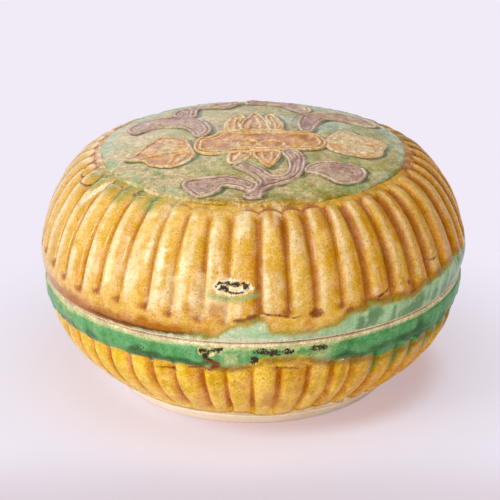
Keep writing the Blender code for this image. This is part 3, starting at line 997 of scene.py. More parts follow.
def foot_section():
    """The foot ring's outline, closed, with its lower corners rounded."""
    inner = FOOT_RADIUS - FOOT_WIDTH
    top = BOWL_BASE + FOOT_OVERLAP
    outer = FOOT_TOP_RADIUS - 0.1
    foot = rounded([(inner, top - 2), (inner, 0), (FOOT_RADIUS, 0), (outer, FOOT_TOP)], 0.6)
    return [(FOOT_TOP_RADIUS - 3, top), (inner, top), *foot, (outer, top)][::-1]


def collar_section():
    """The collar's outline, closed, with its corners rounded."""
    low, high = COLLAR_LOW, COLLAR_HIGH
    inner, outer = COLLAR_RADIUS - COLLAR_WALL, COLLAR_RADIUS
    corners = [(inner, low + 3), (inner, high), (outer, high), (outer, low), (inner, low)]
    return rounded([*corners, (inner, low + 2.9)], 0.8)


class POTTERY_OT_clay_rings(bpy.types.Operator):
    """Turn the bare foot and the bare collar that the lid passes over"""

    bl_idname = "pottery.clay_rings"
    bl_label = "Bare foot and collar"

    def execute(self, context):
        clay = bare_clay("bare buff clay")
        rings = (
            ("clay_foot", foot_section(), "foot_ring"),
            ("clay_collar", collar_section(), "seating_collar"),
        )
        for name, path, node in rings:
            piece = turned(name, joined(evenly(path, RING_SPACING)), RING_STEPS, closed=True)
            points = read_points(piece)
            radius = np.hypot(points[:, 0], points[:, 1])
            shrink = 1 - (RING_WEAR + 0.08 * cloud(points, 12, 51)) / radius
            points[:, :2] *= shrink[:, None]
            write_points(piece, points)
            finish_piece(piece, clay, "box", "bare_clay", node)
        return {"FINISHED"}


# Lid

LID_TABLE, LID_RIBBED, LID_BAND, LID_EDGE, LID_INSIDE = range(5)


def lid_radius(share):
    """Crest radius of the lid's ribs, a share of the way up from the band to the medallion."""
    drop = 1 - (1 - share**LID_CURVE_POWER) ** LID_CURVE_EASE
    return LID_RADIUS + (LID_TOP_RADIUS - LID_RADIUS) * drop


def lid_section():
    """The lid from the middle of its top, down the outside, round the rim and up the inside."""
    share = 1 - np.linspace(0, 1, 400) ** 2
    ribbed = np.stack([lid_radius(share), LID_BAND_TOP + share * (LID_TOP - LID_BAND_TOP)], axis=1)
    climb = np.linspace(1, 0.12, 30)
    swell = (LID_RADIUS - SEAM_RADIUS) * np.sin(climb * math.pi / 2)
    band = np.stack([SEAM_RADIUS + swell, LID_RIM + climb * (LID_BAND_TOP - LID_RIM)], axis=1)
    mouth = (LID_MOUTH_RADIUS, LID_RIM + LIP_HEIGHT)
    edge = rounded([band[-1], (SEAM_RADIUS, LID_RIM), (LID_MOUTH_RADIUS, LID_RIM), mouth], 0.6)
    ceiling = LID_TOP - LID_WALL
    share = np.linspace(0, 1, 200)
    rise = LID_BAND_TOP + share * (ceiling - LID_BAND_TOP)
    hollow = np.stack([lid_radius(share) - LID_WALL, rise], axis=1)
    hollow = rounded([mouth, *hollow[::14], hollow[-1], (0, ceiling)], 0.4)
    return joined(
        evenly([(0, LID_TOP), ribbed[0]], TABLE_SPACING),
        evenly(ribbed, WALL_SPACING),
        evenly(band, WALL_SPACING),
        evenly(edge, EDGE_SPACING),
        evenly(hollow, LINING_SPACING),
    )


# Marks on the lid by bearing from the front in degrees and height in millimetres: a route's places, an
# oval's middle and half sizes, a glaze border's height, or a drip's length
LID_SCAR = (-5.5, 61.0, 5.6, 2.6)
LID_SCAR_LINES = (
    ((-7.9, 60.5), (-7.0, 60.4)),
    ((-6.4, 61.5), (-5.0, 61.8), (-2.6, 62.3), (-1.6, 61.3)),
    ((-2.8, 62.4), (-1.8, 60.6)),
)
LID_SCAR_HAIRLINES = (
    ((-9.9, 60.8), (-8.6, 59.9), (-6.4, 59.3), (-4.2, 59.1), (-2.0, 59.8), (-1.2, 61.0)),
    ((-9.7, 61.2), (-8.8, 62.3), (-7.2, 62.0), (-6.2, 62.4)),
)
LID_BARE_PATCH = ((-63.2, 74.4), (-60.2, 79.6))
LID_PALE_RUNS = (
    ((-13.9, 63), (-13.4, 50.3)), ((-6.6, 58.6), (-6.5, 50.2)), ((3.0, 66), (3.4, 54)),
    ((-21, 62), (-20.6, 52)),
)
LID_BROWN_POOLS = ((-9.8, 53.3, 3.3, 3.2), (0.4, 56.6, 1.2, 2.6), (-17, 53, 2.2, 2.6))
LID_CRACKS = (
    ((-81, 80.3), (-77.8, 79.4), (-76.6, 78.4), (-71.6, 77.5), (-68.3, 77.7), (-65.6, 78.4), (-65.8, 80)),
    ((0.6, 52.1), (2.2, 52.7), (4.7, 52.2), (7.9, 51.8), (9.9, 50.9), (11.9, 51.4)),
    ((32.1, 51.6), (33.5, 53.1), (35.4, 54.0), (37.4, 54.6)),
    ((52.1, 58.7), (55.8, 58.2), (58.1, 58.2)),
    ((128, 60), (132, 61.5), (137, 61)),
    ((-150, 54), (-146, 52.6), (-140, 53)),
)
LID_SPOTS = (
    (44.5, 54.8, 1.0, 0.8), (45.2, 50.9, 1.8, 1.2), (15.9, 51.6, 2.2, 1.4), (25, 51.1, 1.6, 0.8),
    (30.7, 49.6, 0.7, 1.6), (52, 51.2, 2.2, 0.8), (58, 52.3, 2.0, 0.8), (-59, 80.9, 0.7, 0.6),
    (-44.4, 81.1, 1.0, 0.4), (-3.6, 50.4, 2.6, 0.9), (-0.6, 51.2, 1.8, 1.1), (100, 55, 1.4, 1),
    (-110, 51, 2, 1),
)
LID_GREEN_BORDER = (
    (-180, 47), (-150, 50.5), (-125, 46), (-95, 41.6), (-70, 41.6), (-46, 42.2), (-30, 42.9), (-9, 43.3),
    (-7, 46.6), (-2.4, 48.4), (1.1, 49.6), (3, 48.8), (4.6, 45.4), (8, 44.4), (16, 44.6), (21.3, 46.4),
    (25.1, 48.8), (31.4, 50.2), (38.7, 49.6), (44.9, 48.5), (50.2, 50.6), (59.4, 51.2), (70, 52.4),
    (84, 51), (100, 47), (130, 45), (155, 48),
)
LID_DRIPS = (
    (-70, 3.0), (-64, 5.5), (-56, 3.6), (-49, 4.6), (-43, 3.0), (-36, 4.6), (-29, 1.6), (34, 1.0), (48, 1.4),
    (110, 3.0), (150, 5.0), (178, 3.0), (-160, 4.0), (-130, 3.0),
)


# Stretches of the lid's wall: first and last bearing, and the fade inside them, in degrees
LID_WIDE_GROOVES = (-30, 150, 30)
LID_FLAT_RIBS = (-160, 12, 45)
LID_SHORT_FADES = (0, 150, 30)
LID_WAVY_GREEN = (-25, 40, 12)
LID_PALE_GREEN = (-20, 16, 8)
LID_THIN_GREEN = (-25, 20, 10)
LID_FRINGE = (-22, 78, 10)
LID_BROWN_EDGE = (-105, -5, 12)
LID_PLUM_EDGE = (-58, -5, 16)
LID_RIGHT_EDGE = (18, 80, 8)
LID_BARE_RIM = (-150, -15, 15)
LID_THIN_AND_LIT_FRONT = (-45, 30, 15)

# Heights of the plum edge and of the drips' top in millimetres, and seed of the ribs
LID_PLUM_HEIGHT = 43.7
LID_DRIP_TOP = 82.3
LID_SEED = 5

# Colours of the lid beyond those that a user can change
DRIP_OLIVE = screen(172, 160, 56)
LID_RUST = screen(182, 108, 4)
LID_STAIN = screen(138, 72, 16)
LID_MINT = screen(176, 214, 160)
LID_MILK_GREEN = screen(226, 232, 196)
LID_DEEP_GREEN = screen(98, 142, 84)
FRINGE_OLIVE = screen(150, 152, 50)


def shape_lid(piece, section):
    """Flute the lid's wall and give it its scar, cracks and small dents."""
    along = read_field(piece, "along")
    stretch = read_field(piece, "stretch").round()
    points = read_points(piece)
    tips = [section_place(section, LID_RIBBED, tip) for tip in (LID_RIB_TOP, LID_RIB_LOW)]
    outside = (stretch >= LID_RIBBED) & (stretch <= LID_BAND)
    wall = Wall(points)
    widening = 0.9 + 0.7 * wall.between(*LID_WIDE_GROOVES)
    flatness = wall.between(*LID_FLAT_RIBS)
    fades = (5.0 - 2.6 * wall.between(*LID_SHORT_FADES), LID_RIB_LOW_FADE)
    count = sizes().lid_ribs
    ribs = Ribs(points, along, count, LID_PHASE, tips, fades, LID_SEED, widening, flatness)
    uneven = 0.18 * cloud(points, 18, 61) + 0.1 * cloud(points, 4, 62) + 0.08
    scar = wall.oval(*LID_SCAR)
    pitted = noise(points, 1.4, 63)
    dents = -0.6 * bell(scar - 1.0, 0.24) + (0.3 + 0.6 * pitted) * (1 - ease(0.5, 1.0, scar))
    for route in LID_CRACKS:
        dents += 0.28 * bell(wall.line(route) + 0.3 * noise(points, 1.5, 64), 0.4)
    dents += 0.5 * (1 - ease(1.2, 1.9, wall.line(LID_BARE_PATCH)))
    smooth_scar = ribs.sink * (1 - ease(1.1, 1.5, scar))
    points = flute(piece, ribs, outside, uneven + dents - 0.7 * smooth_scar)
    return points, ribs, scar


def lid_browns(wall, height, medium, ragged, under_green):
    """Brown along the lid's edge and in pools, and the plum where it is darkest."""
    rust = wall.between(*LID_BROWN_EDGE) * ease(50.2, 44.4, height + 1.4 * medium + 0.8 * ragged)
    for mark in LID_BROWN_POOLS:
        pooled = 1 - ease(0.3, 1.5, wall.oval(*mark) + 0.4 * medium + 0.3 * ragged)
        rust = np.maximum(rust, 0.6 * pooled)
    plum = 0.85 * wall.between(*LID_PLUM_EDGE) * ease(42.4, 43.6, height)
    plum = plum * bell(height - LID_PLUM_HEIGHT - 0.6 * medium, 0.9)
    right_edge = wall.between(*LID_RIGHT_EDGE)
    rust = np.maximum(rust, 0.9 * bell(under_green + 1.8, 1.8) * right_edge)
    plum = np.maximum(plum, 0.7 * bell(under_green + 1.4, 1.0) * right_edge * ease(-0.5, 0.6, medium))
    return rust, plum


def lid_marks(wall, ragged):
    """Dark crusts in the lid's scar and cracks, and rusty stains along the cracks and in spots."""
    crust = np.zeros(len(ragged))
    stain = np.zeros(len(ragged))
    for route in LID_SCAR_LINES:
        crust = np.maximum(crust, 0.72 * (1 - ease(0.2, 1.8, wall.line(route) + 0.5 * ragged)))
    for route in LID_SCAR_HAIRLINES:
        crust = np.maximum(crust, 0.7 * bell(wall.line(route) + 0.3 * ragged, 0.5))
    for route in LID_CRACKS:
        crack = wall.line(route) + 0.3 * noise(wall.points, 1.5, 64)
        crust = np.maximum(crust, 0.38 * bell(crack, 0.4))
        stain = np.maximum(stain, 0.85 * bell(crack, 0.45))
    for mark in LID_SPOTS:
        spot = wall.oval(*mark) + 0.3 * ragged
        stain = np.maximum(stain, 0.88 * (1 - ease(0.3, 1.8, spot)))
    return crust, stain


def lid_runs(wall, height, medium):
    """Green that drips from under the medallion, and pale runs down the front."""
    drip = np.zeros(len(height))
    for bearing, length in LID_DRIPS:
        sideways = np.abs(np.radians(apart(wall.bearing, bearing)) * wall.radius)
        reach = height - (LID_DRIP_TOP - length)
        drip = np.maximum(drip, 0.75 * (1 - ease(1.0, 5.0, sideways)) * ease(-1.0, 1.8, reach))
    run = np.zeros(len(height))
    for route in LID_PALE_RUNS:
        run = np.maximum(run, 0.55 * (1 - ease(0.0, 2.6, wall.line(route) + 0.7 * medium)))
    return drip, run


def paint_lid(piece, points, ribs, scar):
    """Lay the amber, the green runs and the bare clay over the lid, with painted highlights on the ribs'
    left shoulders and front, painted shade on their right slopes and right-hand side, and a painted shadow
    in the seam.
    """
    stretch = read_field(piece, "stretch").round()
    outside = stretch <= LID_BAND
    wall = Wall(points)
    height = wall.level()
    right = np.sin(np.radians(wall.bearing))
    broad = cloud(points, 14, 71)
    medium = cloud(points, 4.5, 72)
    ragged = cloud(points, 1.8, 73)
    wavy = wall.between(*LID_WAVY_GREEN)
    under_green = wall.border(LID_GREEN_BORDER) + 0.5 * ragged + 0.9 * medium * wavy - height
    spread = 1.4 + 1.2 * wavy
    green = ease(-spread, spread, under_green)
    rust, plum = lid_browns(wall, height, medium, ragged, under_green)
    crust, stain = lid_marks(wall, ragged)
    drip, run = lid_runs(wall, height, medium)
    tips = bell(ribs.from_first + 0.2, 1.0) * ease(-0.7, 0.4, broad + 0.3 * medium)
    tips = tips + ribs.slope * bell(ribs.from_last - 0.6, 1.5)
    patch = 1 - ease(0.6, 1.9, wall.line(LID_BARE_PATCH))
    bare = np.maximum(0.6 * patch, 0.66 * (1 - ease(0.9, 1.4, scar)))
    bare = np.maximum(bare, ease(41.75, 41.3, height + 0.2 * broad) * wall.between(*LID_BARE_RIM))
    scar_green = 0.6 * bell(scar - 1.45, 0.45) * ease(62.0, 57.5, height + 0.6 * ragged)
    # Painted shadow in the seam under the lid's outer edge, laid in with the umber crusts
    outer_edge = ease(SEAM_RADIUS - 1.2, SEAM_RADIUS - 0.5, wall.radius)
    seam_shadow = 0.52 * bell(height - LID_RIM - 0.1, 0.4) * outer_edge
    # Honey lies in clouds and streaks, and more of it toward the right as painted shade on that side
    thick = 0.5 * broad + 0.4 * medium + 0.7 * ribs.streak + 0.35 * right
    # Straw: thin glaze low on the lid and over the ribs' left shoulders, plus painted highlights on those
    # shoulders and on the front ribs, and less of it on the right-hand side as painted shade
    thin = np.maximum(ribs.shoulder * ribs.inside, 0.25 * ease(54, 50, height))
    thin_and_lit_front = 0.8 * wall.between(*LID_THIN_AND_LIT_FRONT) * ease(46, 56, height)
    thin = np.maximum(thin, thin_and_lit_front * ease(-0.3, 0.5, ribs.streak + 0.3 * broad))
    thin = thin * ease(-1.6, 0.8, medium + ribs.streak) * (1 - 0.4 * right)
    pool = ribs.groove * ribs.inside * (0.66 + 0.1 * right + 0.35 * ribs.lively) + 0.9 * tips
    pale = 0.8 * medium + 0.5 * bell(height - 42.5, 1.2) + 0.4 * wall.between(*LID_PALE_GREEN)
    deep = (0.85 - 0.75 * wall.between(*LID_THIN_GREEN)) * green
    deep = deep * ease(-0.6, 0.9, medium + 0.8 * ribs.streak + 0.4 * right)
    fringe = 0.65 * bell(under_green + 0.9, 1.1) * wall.between(*LID_FRINGE)
    matt = np.maximum(ease(0.1, 0.9, right), 0.9 * rust)
    paint(
        piece,
        thick=ease(-0.6, 0.8, thick) * outside,
        thin=np.maximum(thin, 0.8 * patch) * outside,
        # Toffee on the ribs' right slopes, more toward the right: painted shade, with glaze pooled beside
        # the grooves
        slope=(0.58 + 0.2 * right) * ribs.slope * ribs.inside * outside,
        pool=np.clip(pool, 0, 1) * outside,
        run=run * outside,
        drip=drip * outside,
        matt=np.maximum(matt, 0.8 * ribs.groove * ribs.inside),
        rust=0.92 * rust * outside,
        plum=plum * outside,
        stain=stain * outside,
        green=np.maximum(green, scar_green) * outside,
        pale=green * ease(0.2, 1.0, pale) * outside,
        deep=np.maximum(deep, drip * ribs.groove) * outside,
        fringe=np.maximum(0.8 * scar_green, fringe) * outside,
        bare=np.where(outside, bare, np.where(stretch == LID_EDGE, 1, 0)),
        # Umber crusts in the scar and cracks, and the painted seam shadow
        crust=np.maximum(crust * outside, seam_shadow),
        lining=np.where(stretch == LID_INSIDE, 1, 0),
    )


class POTTERY_OT_lid(bpy.types.Operator):
    """Turn, flute and glaze the lid"""

    bl_idname = "pottery.lid"
    bl_label = "Fluted lid"

    def execute(self, context):
        section = lid_section()
        piece = turned("fluted_lid", section, STEPS_PER_RIB * sizes().lid_ribs)
        points, ribs, scar = shape_lid(piece, section)
        paint_lid(piece, points, ribs, scar)
        layers = [
            ("thick", tint("honey"), SOFT),
            ("thin", tint("straw"), SOFT),
            ("slope", tint("toffee"), SOFT),
            ("pool", tint("brown"), SOFT),
            ("run", tint("straw"), SOFT),
            ("drip", DRIP_OLIVE, SOFT),
            ("rust", LID_RUST, SOFT),
            ("plum", tint("plum"), SOFT),
            ("stain", LID_STAIN, 0.36),
            ("green", LID_MINT, 0.4),
            ("pale", LID_MILK_GREEN, SOFT),
            ("deep", LID_DEEP_GREEN, SOFT),
            ("fringe", FRINGE_OLIVE, SOFT),
            ("lining", LINING_CREAM, CRISP),
            ("bare", SCAR_CLAY, CRISP),
            ("crust", tint("umber"), CRISP),
        ]
        finish = {"gloss": 0.12, "mottle": 0.18, "pits": 0.65, "shine": 0.36}
        material = lead_glaze("amber glaze of the lid", tint("amber"), layers, **finish)
        finish_piece(piece, material, "lid", "amber_glaze", "lid_dome")
        return {"FINISHED"}


# Medallion and its relief

FLOWER_NODES = (
    "flower_heart", "petal_back_left", "petal_back_middle", "petal_back_right",
    "petals_left", "petals_right", "petal_front_left", "petal_front_right",
)
FOLIAGE_NODES = (
    "stem_front", "leaf_front_left", "leaf_front_right", "leaf_back_left", "leaf_back_right",
    "stem_back_left", "stem_back_right",
)
MEDALLION_STEPS = 640

# Sizes of the relief, in millimetres
RELIEF_GRID = 0.32
RELIEF_GROWTH = 0.9
RELIEF_MARGIN = 5.0
RELIEF_CEILING = 1.35
SPRIG_ROOT = 0.9
SPRIG_SINK = 0.26
SPRIG_STEP = 0.5
THREAD_INSET = 0.85
LEAF_THREAD_SPACING = 1.6
# Shift in plan by which the relief's painted shadow falls on its lower right side
SHADOW_SHIFT = (-0.9, 1.0)

# Upward part of the normals by which a solid's top and side faces are told apart
LEAST_TOP_LEAN = 0.5
MOST_SIDE_LEAN = 0.2

# Colours of the medallion and its relief beyond those that a user can change
MOSS = screen(160, 156, 74)
FRESH_GREEN = screen(140, 164, 84)
EDGE_MINT = screen(152, 188, 132)
EDGE_STAIN = screen(206, 162, 70)
LIP_STRAW = screen(222, 200, 120)
FLOWER_WORN = screen(240, 210, 152)
FLOWER_HOLLOW = screen(186, 104, 34)
FLOWER_RIDGE = screen(246, 220, 160)
LEAF_WORN = screen(208, 176, 138)
LEAF_HOLLOW = screen(140, 90, 74)
LEAF_RIDGE = screen(232, 212, 178)
RELIEF_FINISH = {"gloss": 0.34, "mottle": 0.34, "pits": 0.5, "partly_matt": False}


def face_height(x, y):
    """Height of the medallion's domed face."""
    edge = MEDALLION_SEAT + MEDALLION_EDGE
    return edge + (MEDALLION_TOP - edge) * (1 - (x**2 + y**2) / MEDALLION_RADIUS**2)


class Outline:
    """The plan outline of a sprig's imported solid, let out a little as glaze and slip do."""

    def __init__(self, node):
        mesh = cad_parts[node].data
        mesh.calc_loop_triangles()
        corners = np.array([[mesh.vertices[i].co for i in tri.vertices] for tri in mesh.loop_triangles]) / MM
        lean = np.array([tri.normal.z for tri in mesh.loop_triangles])
        self.faces = corners[lean > LEAST_TOP_LEAN][:, :, :2]
        sides = corners[np.abs(lean) < MOST_SIDE_LEAN][:, :, :2]
        pairs = np.stack([sides, np.roll(sides, -1, axis=1)], axis=2)
        lengths = np.linalg.norm(pairs[:, :, 0] - pairs[:, :, 1], axis=2)
        self.edges = pairs[np.arange(len(pairs)), lengths.argmax(axis=1)]
        self.low = self.edges.min(axis=(0, 1)) - RELIEF_GROWTH
        self.high = self.edges.max(axis=(0, 1)) + RELIEF_GROWTH

    def nearest(self, plan):
        """Distance inside the let-out outline, and the nearest place on it."""
        best = np.full(len(plan), np.inf)
        place = np.zeros_like(plan)
        for start, end in self.edges:
            run = end - start
            share = np.clip((plan - start) @ run / (run @ run), 0, 1)
            spot = start + share[:, None] * run
            gap = np.linalg.norm(plan - spot, axis=1)
            closer = gap < best
            best[closer] = gap[closer]
            place[closer] = spot[closer]
        away = (plan - place) / np.maximum(best, ROUNDING)[:, None]
        return np.where(self.holds(plan), best, -best) + RELIEF_GROWTH, place + RELIEF_GROWTH * away

    def holds(self, plan):
        """Whether places lie inside the solid's own outline."""
        inside = np.zeros(len(plan), bool)
        for a, b, c in self.faces:
            turns = [
                (q[0] - p[0]) * (plan[:, 1] - p[1]) - (q[1] - p[1]) * (plan[:, 0] - p[0])
                for p, q in ((a, b), (b, c), (c, a))
            ]
            inside |= np.all(np.array(turns) >= -ROUNDING, axis=0)
        return inside


def distance_to_relief(plan):
    """Distance in plan from the nearest sprig, with a ceiling of the margin."""
    nearest = np.full(len(plan), RELIEF_MARGIN)
    for node in FLOWER_NODES + FOLIAGE_NODES:
        outline = Outline(node)
        close = np.all((plan > outline.low - RELIEF_MARGIN) & (plan < outline.high + RELIEF_MARGIN), axis=1)
        inside, _ = outline.nearest(plan[close])
        nearest[close] = np.minimum(nearest[close], -inside)
    return nearest


def medallion_section():
    """The medallion from the middle of its face, over its edge and back under it."""
    reach = np.linspace(0, MEDALLION_RADIUS, 200)
    face = np.stack([reach, face_height(reach, 0)], axis=1)
    base = MEDALLION_SEAT - MEDALLION_OVERLAP
    edge = rounded([face[-8], face[-1], (MEDALLION_RADIUS, base)], 0.9)
    under = [edge[-1], (0, base)]
    return joined(
        evenly(face[:-7], MEDALLION_SPACING),
        evenly(edge, MEDALLION_EDGE_SPACING),
        evenly(under, UNDER_SPACING),
    )


def medallion_noise(points):
    """Broad, medium and rough noise over the medallion."""
    return cloud(points, 14, 81), cloud(points, 5, 82), cloud(points, 1.8, 83)


def shape_medallion(piece, level, near):
    """Wave the medallion's edge, and sink its face unevenly and most of all under the sprigs."""
    top = read_field(piece, "stretch").round() <= 1
    broad, medium, rough = medallion_noise(level)
    radius = np.hypot(level[:, 0], level[:, 1])
    wavy = ease(6, 0, MEDALLION_RADIUS - radius) * (0.8 + 0.8 * cloud(level, 7, 86) + 0.3 * rough)
    points = level.copy()
    points[:, :2] *= (1 - np.maximum(wavy, 0) / np.maximum(radius, 1))[:, None]
    sink = 0.15 + 0.15 * broad + 0.12 * medium + 0.1 * rough + 0.16 * bell(np.maximum(near, 0) - 0.4, 0.8)
    sink = np.maximum(sink, 0) + 0.35 * ease(0, -1.2, near)
    points[:, 2] -= np.where(top, sink, 0)
    write_points(piece, points)
    return points


def paint_medallion(piece, level, points, near):
    """Lay the greens, the warm patches, the glaze pooled round the relief and the relief's painted shadow on
    its lower right side over the medallion.
    """
    broad, medium, rough = medallion_noise(level)
    lee = distance_to_relief(level[:, :2] + SHADOW_SHIFT)
    from_edge = MEDALLION_RADIUS - np.hypot(level[:, 0], level[:, 1])
    x, y, _ = points.T
    front = ease(10, -40, y)
    right = ease(-25, 15, x)
    back_right = ease(0, 25, x) * ease(-5, 20, y)
    tan = 0.7 * broad + 0.6 * medium + 0.5 * ease(-18, -40, x)
    teal = 0.5 * bell(from_edge, 6) + 0.7 * cloud(points, 9, 84) - 0.3 * front + 0.8 * back_right
    moss = 0.9 * bell(from_edge - 3, 6) * front * right + 0.6 * cloud(points, 6, 85)
    fresh = cloud(points, 8, 87) + 0.4 * rough
    # Glaze pooled all round the relief, and a painted shadow of the relief on its lower right side
    pool_round = 0.6 * bell(np.maximum(near, 0), 0.8) * ease(-0.5, 0.8, medium + 0.5 * rough)
    shadow_beside = 0.95 * bell(np.maximum(lee, 0), 0.6) * ease(-1.0, 0.2, medium)
    lip = 0.6 * bell(from_edge - 0.3, 0.4 + 0.2 * medium) * ease(-10, -40, y)
    mint = 0.7 * bell(from_edge - 2, 4 + 2 * medium) * ease(5, -30, x)
    paint(
        piece,
        tan=ease(-0.4, 0.8, tan),
        teal=0.9 * ease(0.0, 1.0, teal),
        moss=ease(0.1, 1.1, moss),
        fresh=ease(0.0, 0.8, fresh) * ease(30, -10, y),
        stain=bell(from_edge - 1.0, 2.6 + 1.2 * medium) * bell(x + 2, 26) * front,
        # Olive: pooled glaze, and the relief's painted shadow
        pool=np.maximum(pool_round, shadow_beside),
        lip=lip * ease(-0.2, 0.6, medium + 0.2),
        mint=mint * ease(-0.6, 0.4, rough + medium),
        matt=0.9 * front,
    )


class POTTERY_OT_medallion(bpy.types.Operator):
    """Turn and glaze the domed medallion that carries the relief"""

    bl_idname = "pottery.medallion"
    bl_label = "Medallion"

    def execute(self, context):
        piece = turned("medallion_ground", medallion_section(), MEDALLION_STEPS)
        level = read_points(piece)
        near = distance_to_relief(level[:, :2])
        points = shape_medallion(piece, level, near)
        paint_medallion(piece, level, points, near)
        layers = [
            ("tan", tint("tan"), SOFT),
            ("teal", tint("teal"), SOFT),
            ("moss", MOSS, SOFT),
            ("fresh", FRESH_GREEN, SOFT),
            ("mint", EDGE_MINT, SOFT),
            ("stain", EDGE_STAIN, SOFT),
            # Olive: pooled glaze, and the relief's painted shadow
            ("pool", tint("olive"), SOFT),
            ("lip", LIP_STRAW, 0.3),
        ]
        finish = {"gloss": 0.32, "mottle": 0.42, "pits": 1.0}
        material = lead_glaze("sage glaze of the medallion", tint("sage"), layers, **finish)
        finish_piece(piece, material, "lid", "sage_glaze", "medallion")
        return {"FINISHED"}


def boundary(piece):
    """Which vertices lie on the open edge of a mesh."""
    uses = {}
    for face in piece.data.polygons:
        for key in face.edge_keys:
            uses[key] = uses.get(key, 0) + 1
    rim = np.zeros(len(piece.data.vertices), bool)
    for key, count in uses.items():
        if count == 1:
            rim[list(key)] = True
    return rim


def trimmed_grid(name, outline):
    """A grid under the medallion's face, trimmed to an outline and with its open edge laid on it."""
    middle = (outline.low + outline.high) / 2
    cells = np.ceil((outline.high - outline.low) / RELIEF_GRID).astype(int) + 2
    deselect()
    bpy.ops.mesh.primitive_grid_add(x_subdivisions=int(cells[0]), y_subdivisions=int(cells[1]), size=1)
    piece = bpy.context.object
    piece.name = piece.data.name = name
    points = read_points(piece) * MM
    points[:, :2] = points[:, :2] * cells * RELIEF_GRID + middle
    write_points(piece, points)
    inside, _ = outline.nearest(points[:, :2])
    clear_selection("FACE")
    corners = np.empty(len(piece.data.loops), dtype=int)
    piece.data.loops.foreach_get("vertex_index", corners)
    outside = inside[corners.reshape(-1, 4)].mean(axis=1) < 0
    piece.data.polygons.foreach_set("select", outside)
    delete_selected("FACE")
    points = read_points(piece)
    _, place = outline.nearest(points[:, :2])
    rim = boundary(piece)
    points[rim, :2] = place[rim]
    points[:, 2] = face_height(points[:, 0], points[:, 1]) - SPRIG_ROOT
    write_points(piece, points)
    return piece


def sprig(node):
    """A raised sprig: a grid trimmed to the let-out outline, pulled up and left sunk in the ground.

    It returns the piece, which vertices are on its top, and their distance inside the outline.
    """
    outline = Outline(node)
    piece = trimmed_grid(node + "_relief", outline)
    bpy.ops.object.mode_set(mode="EDIT")
    bpy.ops.mesh.select_all(action="SELECT")
    bpy.ops.mesh.extrude_region_move(TRANSFORM_OT_translate={"value": (0, 0, SPRIG_STEP * MM)})
    bpy.ops.object.mode_set(mode="OBJECT")
    top = np.empty(len(piece.data.vertices), dtype=bool)
    piece.data.vertices.foreach_get("select", top)
    smooth_outside()
    inside, _ = outline.nearest(read_points(piece)[:, :2])
    return piece, top, np.maximum(inside, 0)


def plan_line(plan, *route):
    """Distance in plan from a line through the given places."""
    nearest = np.full(len(plan), FAR)
    route = np.array(route, float)
    for start, end in zip(route, route[1:]):
        run = end - start
        share = np.clip((plan - start) @ run / (run @ run), 0, 1)
        nearest = np.minimum(nearest, np.linalg.norm(plan - start - share[:, None] * run, axis=1))
    return nearest


def plan_ring(plan, x, y, half_x, half_y):
    """Distance in plan from an oval ring."""
    reach = np.hypot((plan[:, 0] - x) / half_x, (plan[:, 1] - y) / half_y)
    return np.abs(reach - 1) * min(half_x, half_y)


# Raised lines inside the sprigs, as places in plan
VEINS = {
    "petal_back_left": [((-6.4, 10), (-6.6, 17), (-5.4, 25)), ((-8.6, 11), (-8.8, 17), (-7.6, 22))],
    "petal_back_middle": [((-1.6, 10), (-1.4, 16), (0.8, 25)), ((2.8, 10), (2.8, 16), (0.8, 25))],
    "petal_back_right": [((8, 11), (8, 17), (6.4, 24)), ((9.6, 12), (9.8, 17), (8.6, 21))],
    "petals_left": [
        ((-22, -8), (-28, -4), (-33, 1)), ((-22, -9), (-30, -7), (-38, -9)),
        ((-22, -10), (-29, -11), (-38, -14)), ((-22, -11), (-27, -14), (-28.4, -21)),
        ((-22.5, -13), (-24, -17), (-27, -20.5)), ((-25, -3), (-29, 1), (-31, 3)),
    ],
    "petals_right": [
        ((27, -2), (30, 5), (33, 11)), ((27, -4), (33, 1), (39, 6)), ((27, -5), (34, -3), (43, 0)),
        ((28, -7), (34, -7), (42, -7)),
    ],
    "petal_front_left": [((-4, -14.5), (-5.4, -18), (-6.6, -21))],
    "petal_front_right": [((3, -14), (3.4, -18), (5.2, -23)), ((6.4, -14), (6.4, -18), (5.4, -23))],
}
HEART_RINGS = ((-1.6, -6.0, 3.4, 3.8), (6.6, -5.8, 4.4, 3.6))
HEART_INNER_THREAD = 2.7

# How far the sprigs are rubbed away, from 0 to 1
RUBBED = {"petals_right": 1.0, "petals_left": 0.1}

# How much of the sprigs' lines is left even where they have worn most, from 0 to 1
LINES_KEPT = {"flower_heart": 0.85, "petals_left": 0.6}
LEAST_LINES_KEPT = 0.4

# How much more or less than the others the sprigs' colour has worn thin
WEAR = {"petals_right": 0.5, "petals_left": 0.2, "flower_heart": -0.4}

# Lowest noise at which dark glaze lies between a sprig's lines, by slot
HOLLOWS_FROM = {"flower_glaze": -0.9, "leaf_glaze": -0.3}


def sprig_lines(node, plan, inside):
    """How strongly each place lies on a raised thread or vein, from 0 to 1."""
    flat = np.column_stack([plan, 0 * inside])
    wobble = 0.3 * noise(flat, 2.5, 91)
    threads = bell(inside - THREAD_INSET + 0.5 * wobble, 0.42)
    for route in VEINS.get(node, ()):
        threads = np.maximum(threads, 0.9 * bell(plan_line(plan, *route) + wobble, 0.45))
    if node == "flower_heart":
        threads = np.maximum(threads, bell(inside - HEART_INNER_THREAD + wobble, 0.5))
        for ring in HEART_RINGS:
            threads = np.maximum(threads, 0.8 * bell(plan_ring(plan, *ring) + wobble, 0.5))
    if node.startswith(("leaf", "stem")):
        broken = ease(-0.9, 0.2, cloud(flat, 7, 97))
        for turn in (1, 2):
            line = bell(inside - THREAD_INSET - turn * LEAF_THREAD_SPACING + wobble, 0.42)
            threads = np.maximum(threads, (0.85 - 0.15 * turn) * broken * line)
    kept = LINES_KEPT.get(node, LEAST_LINES_KEPT)
    return threads * np.maximum(ease(-0.9, 0.3, cloud(flat, 5, 95)), kept)


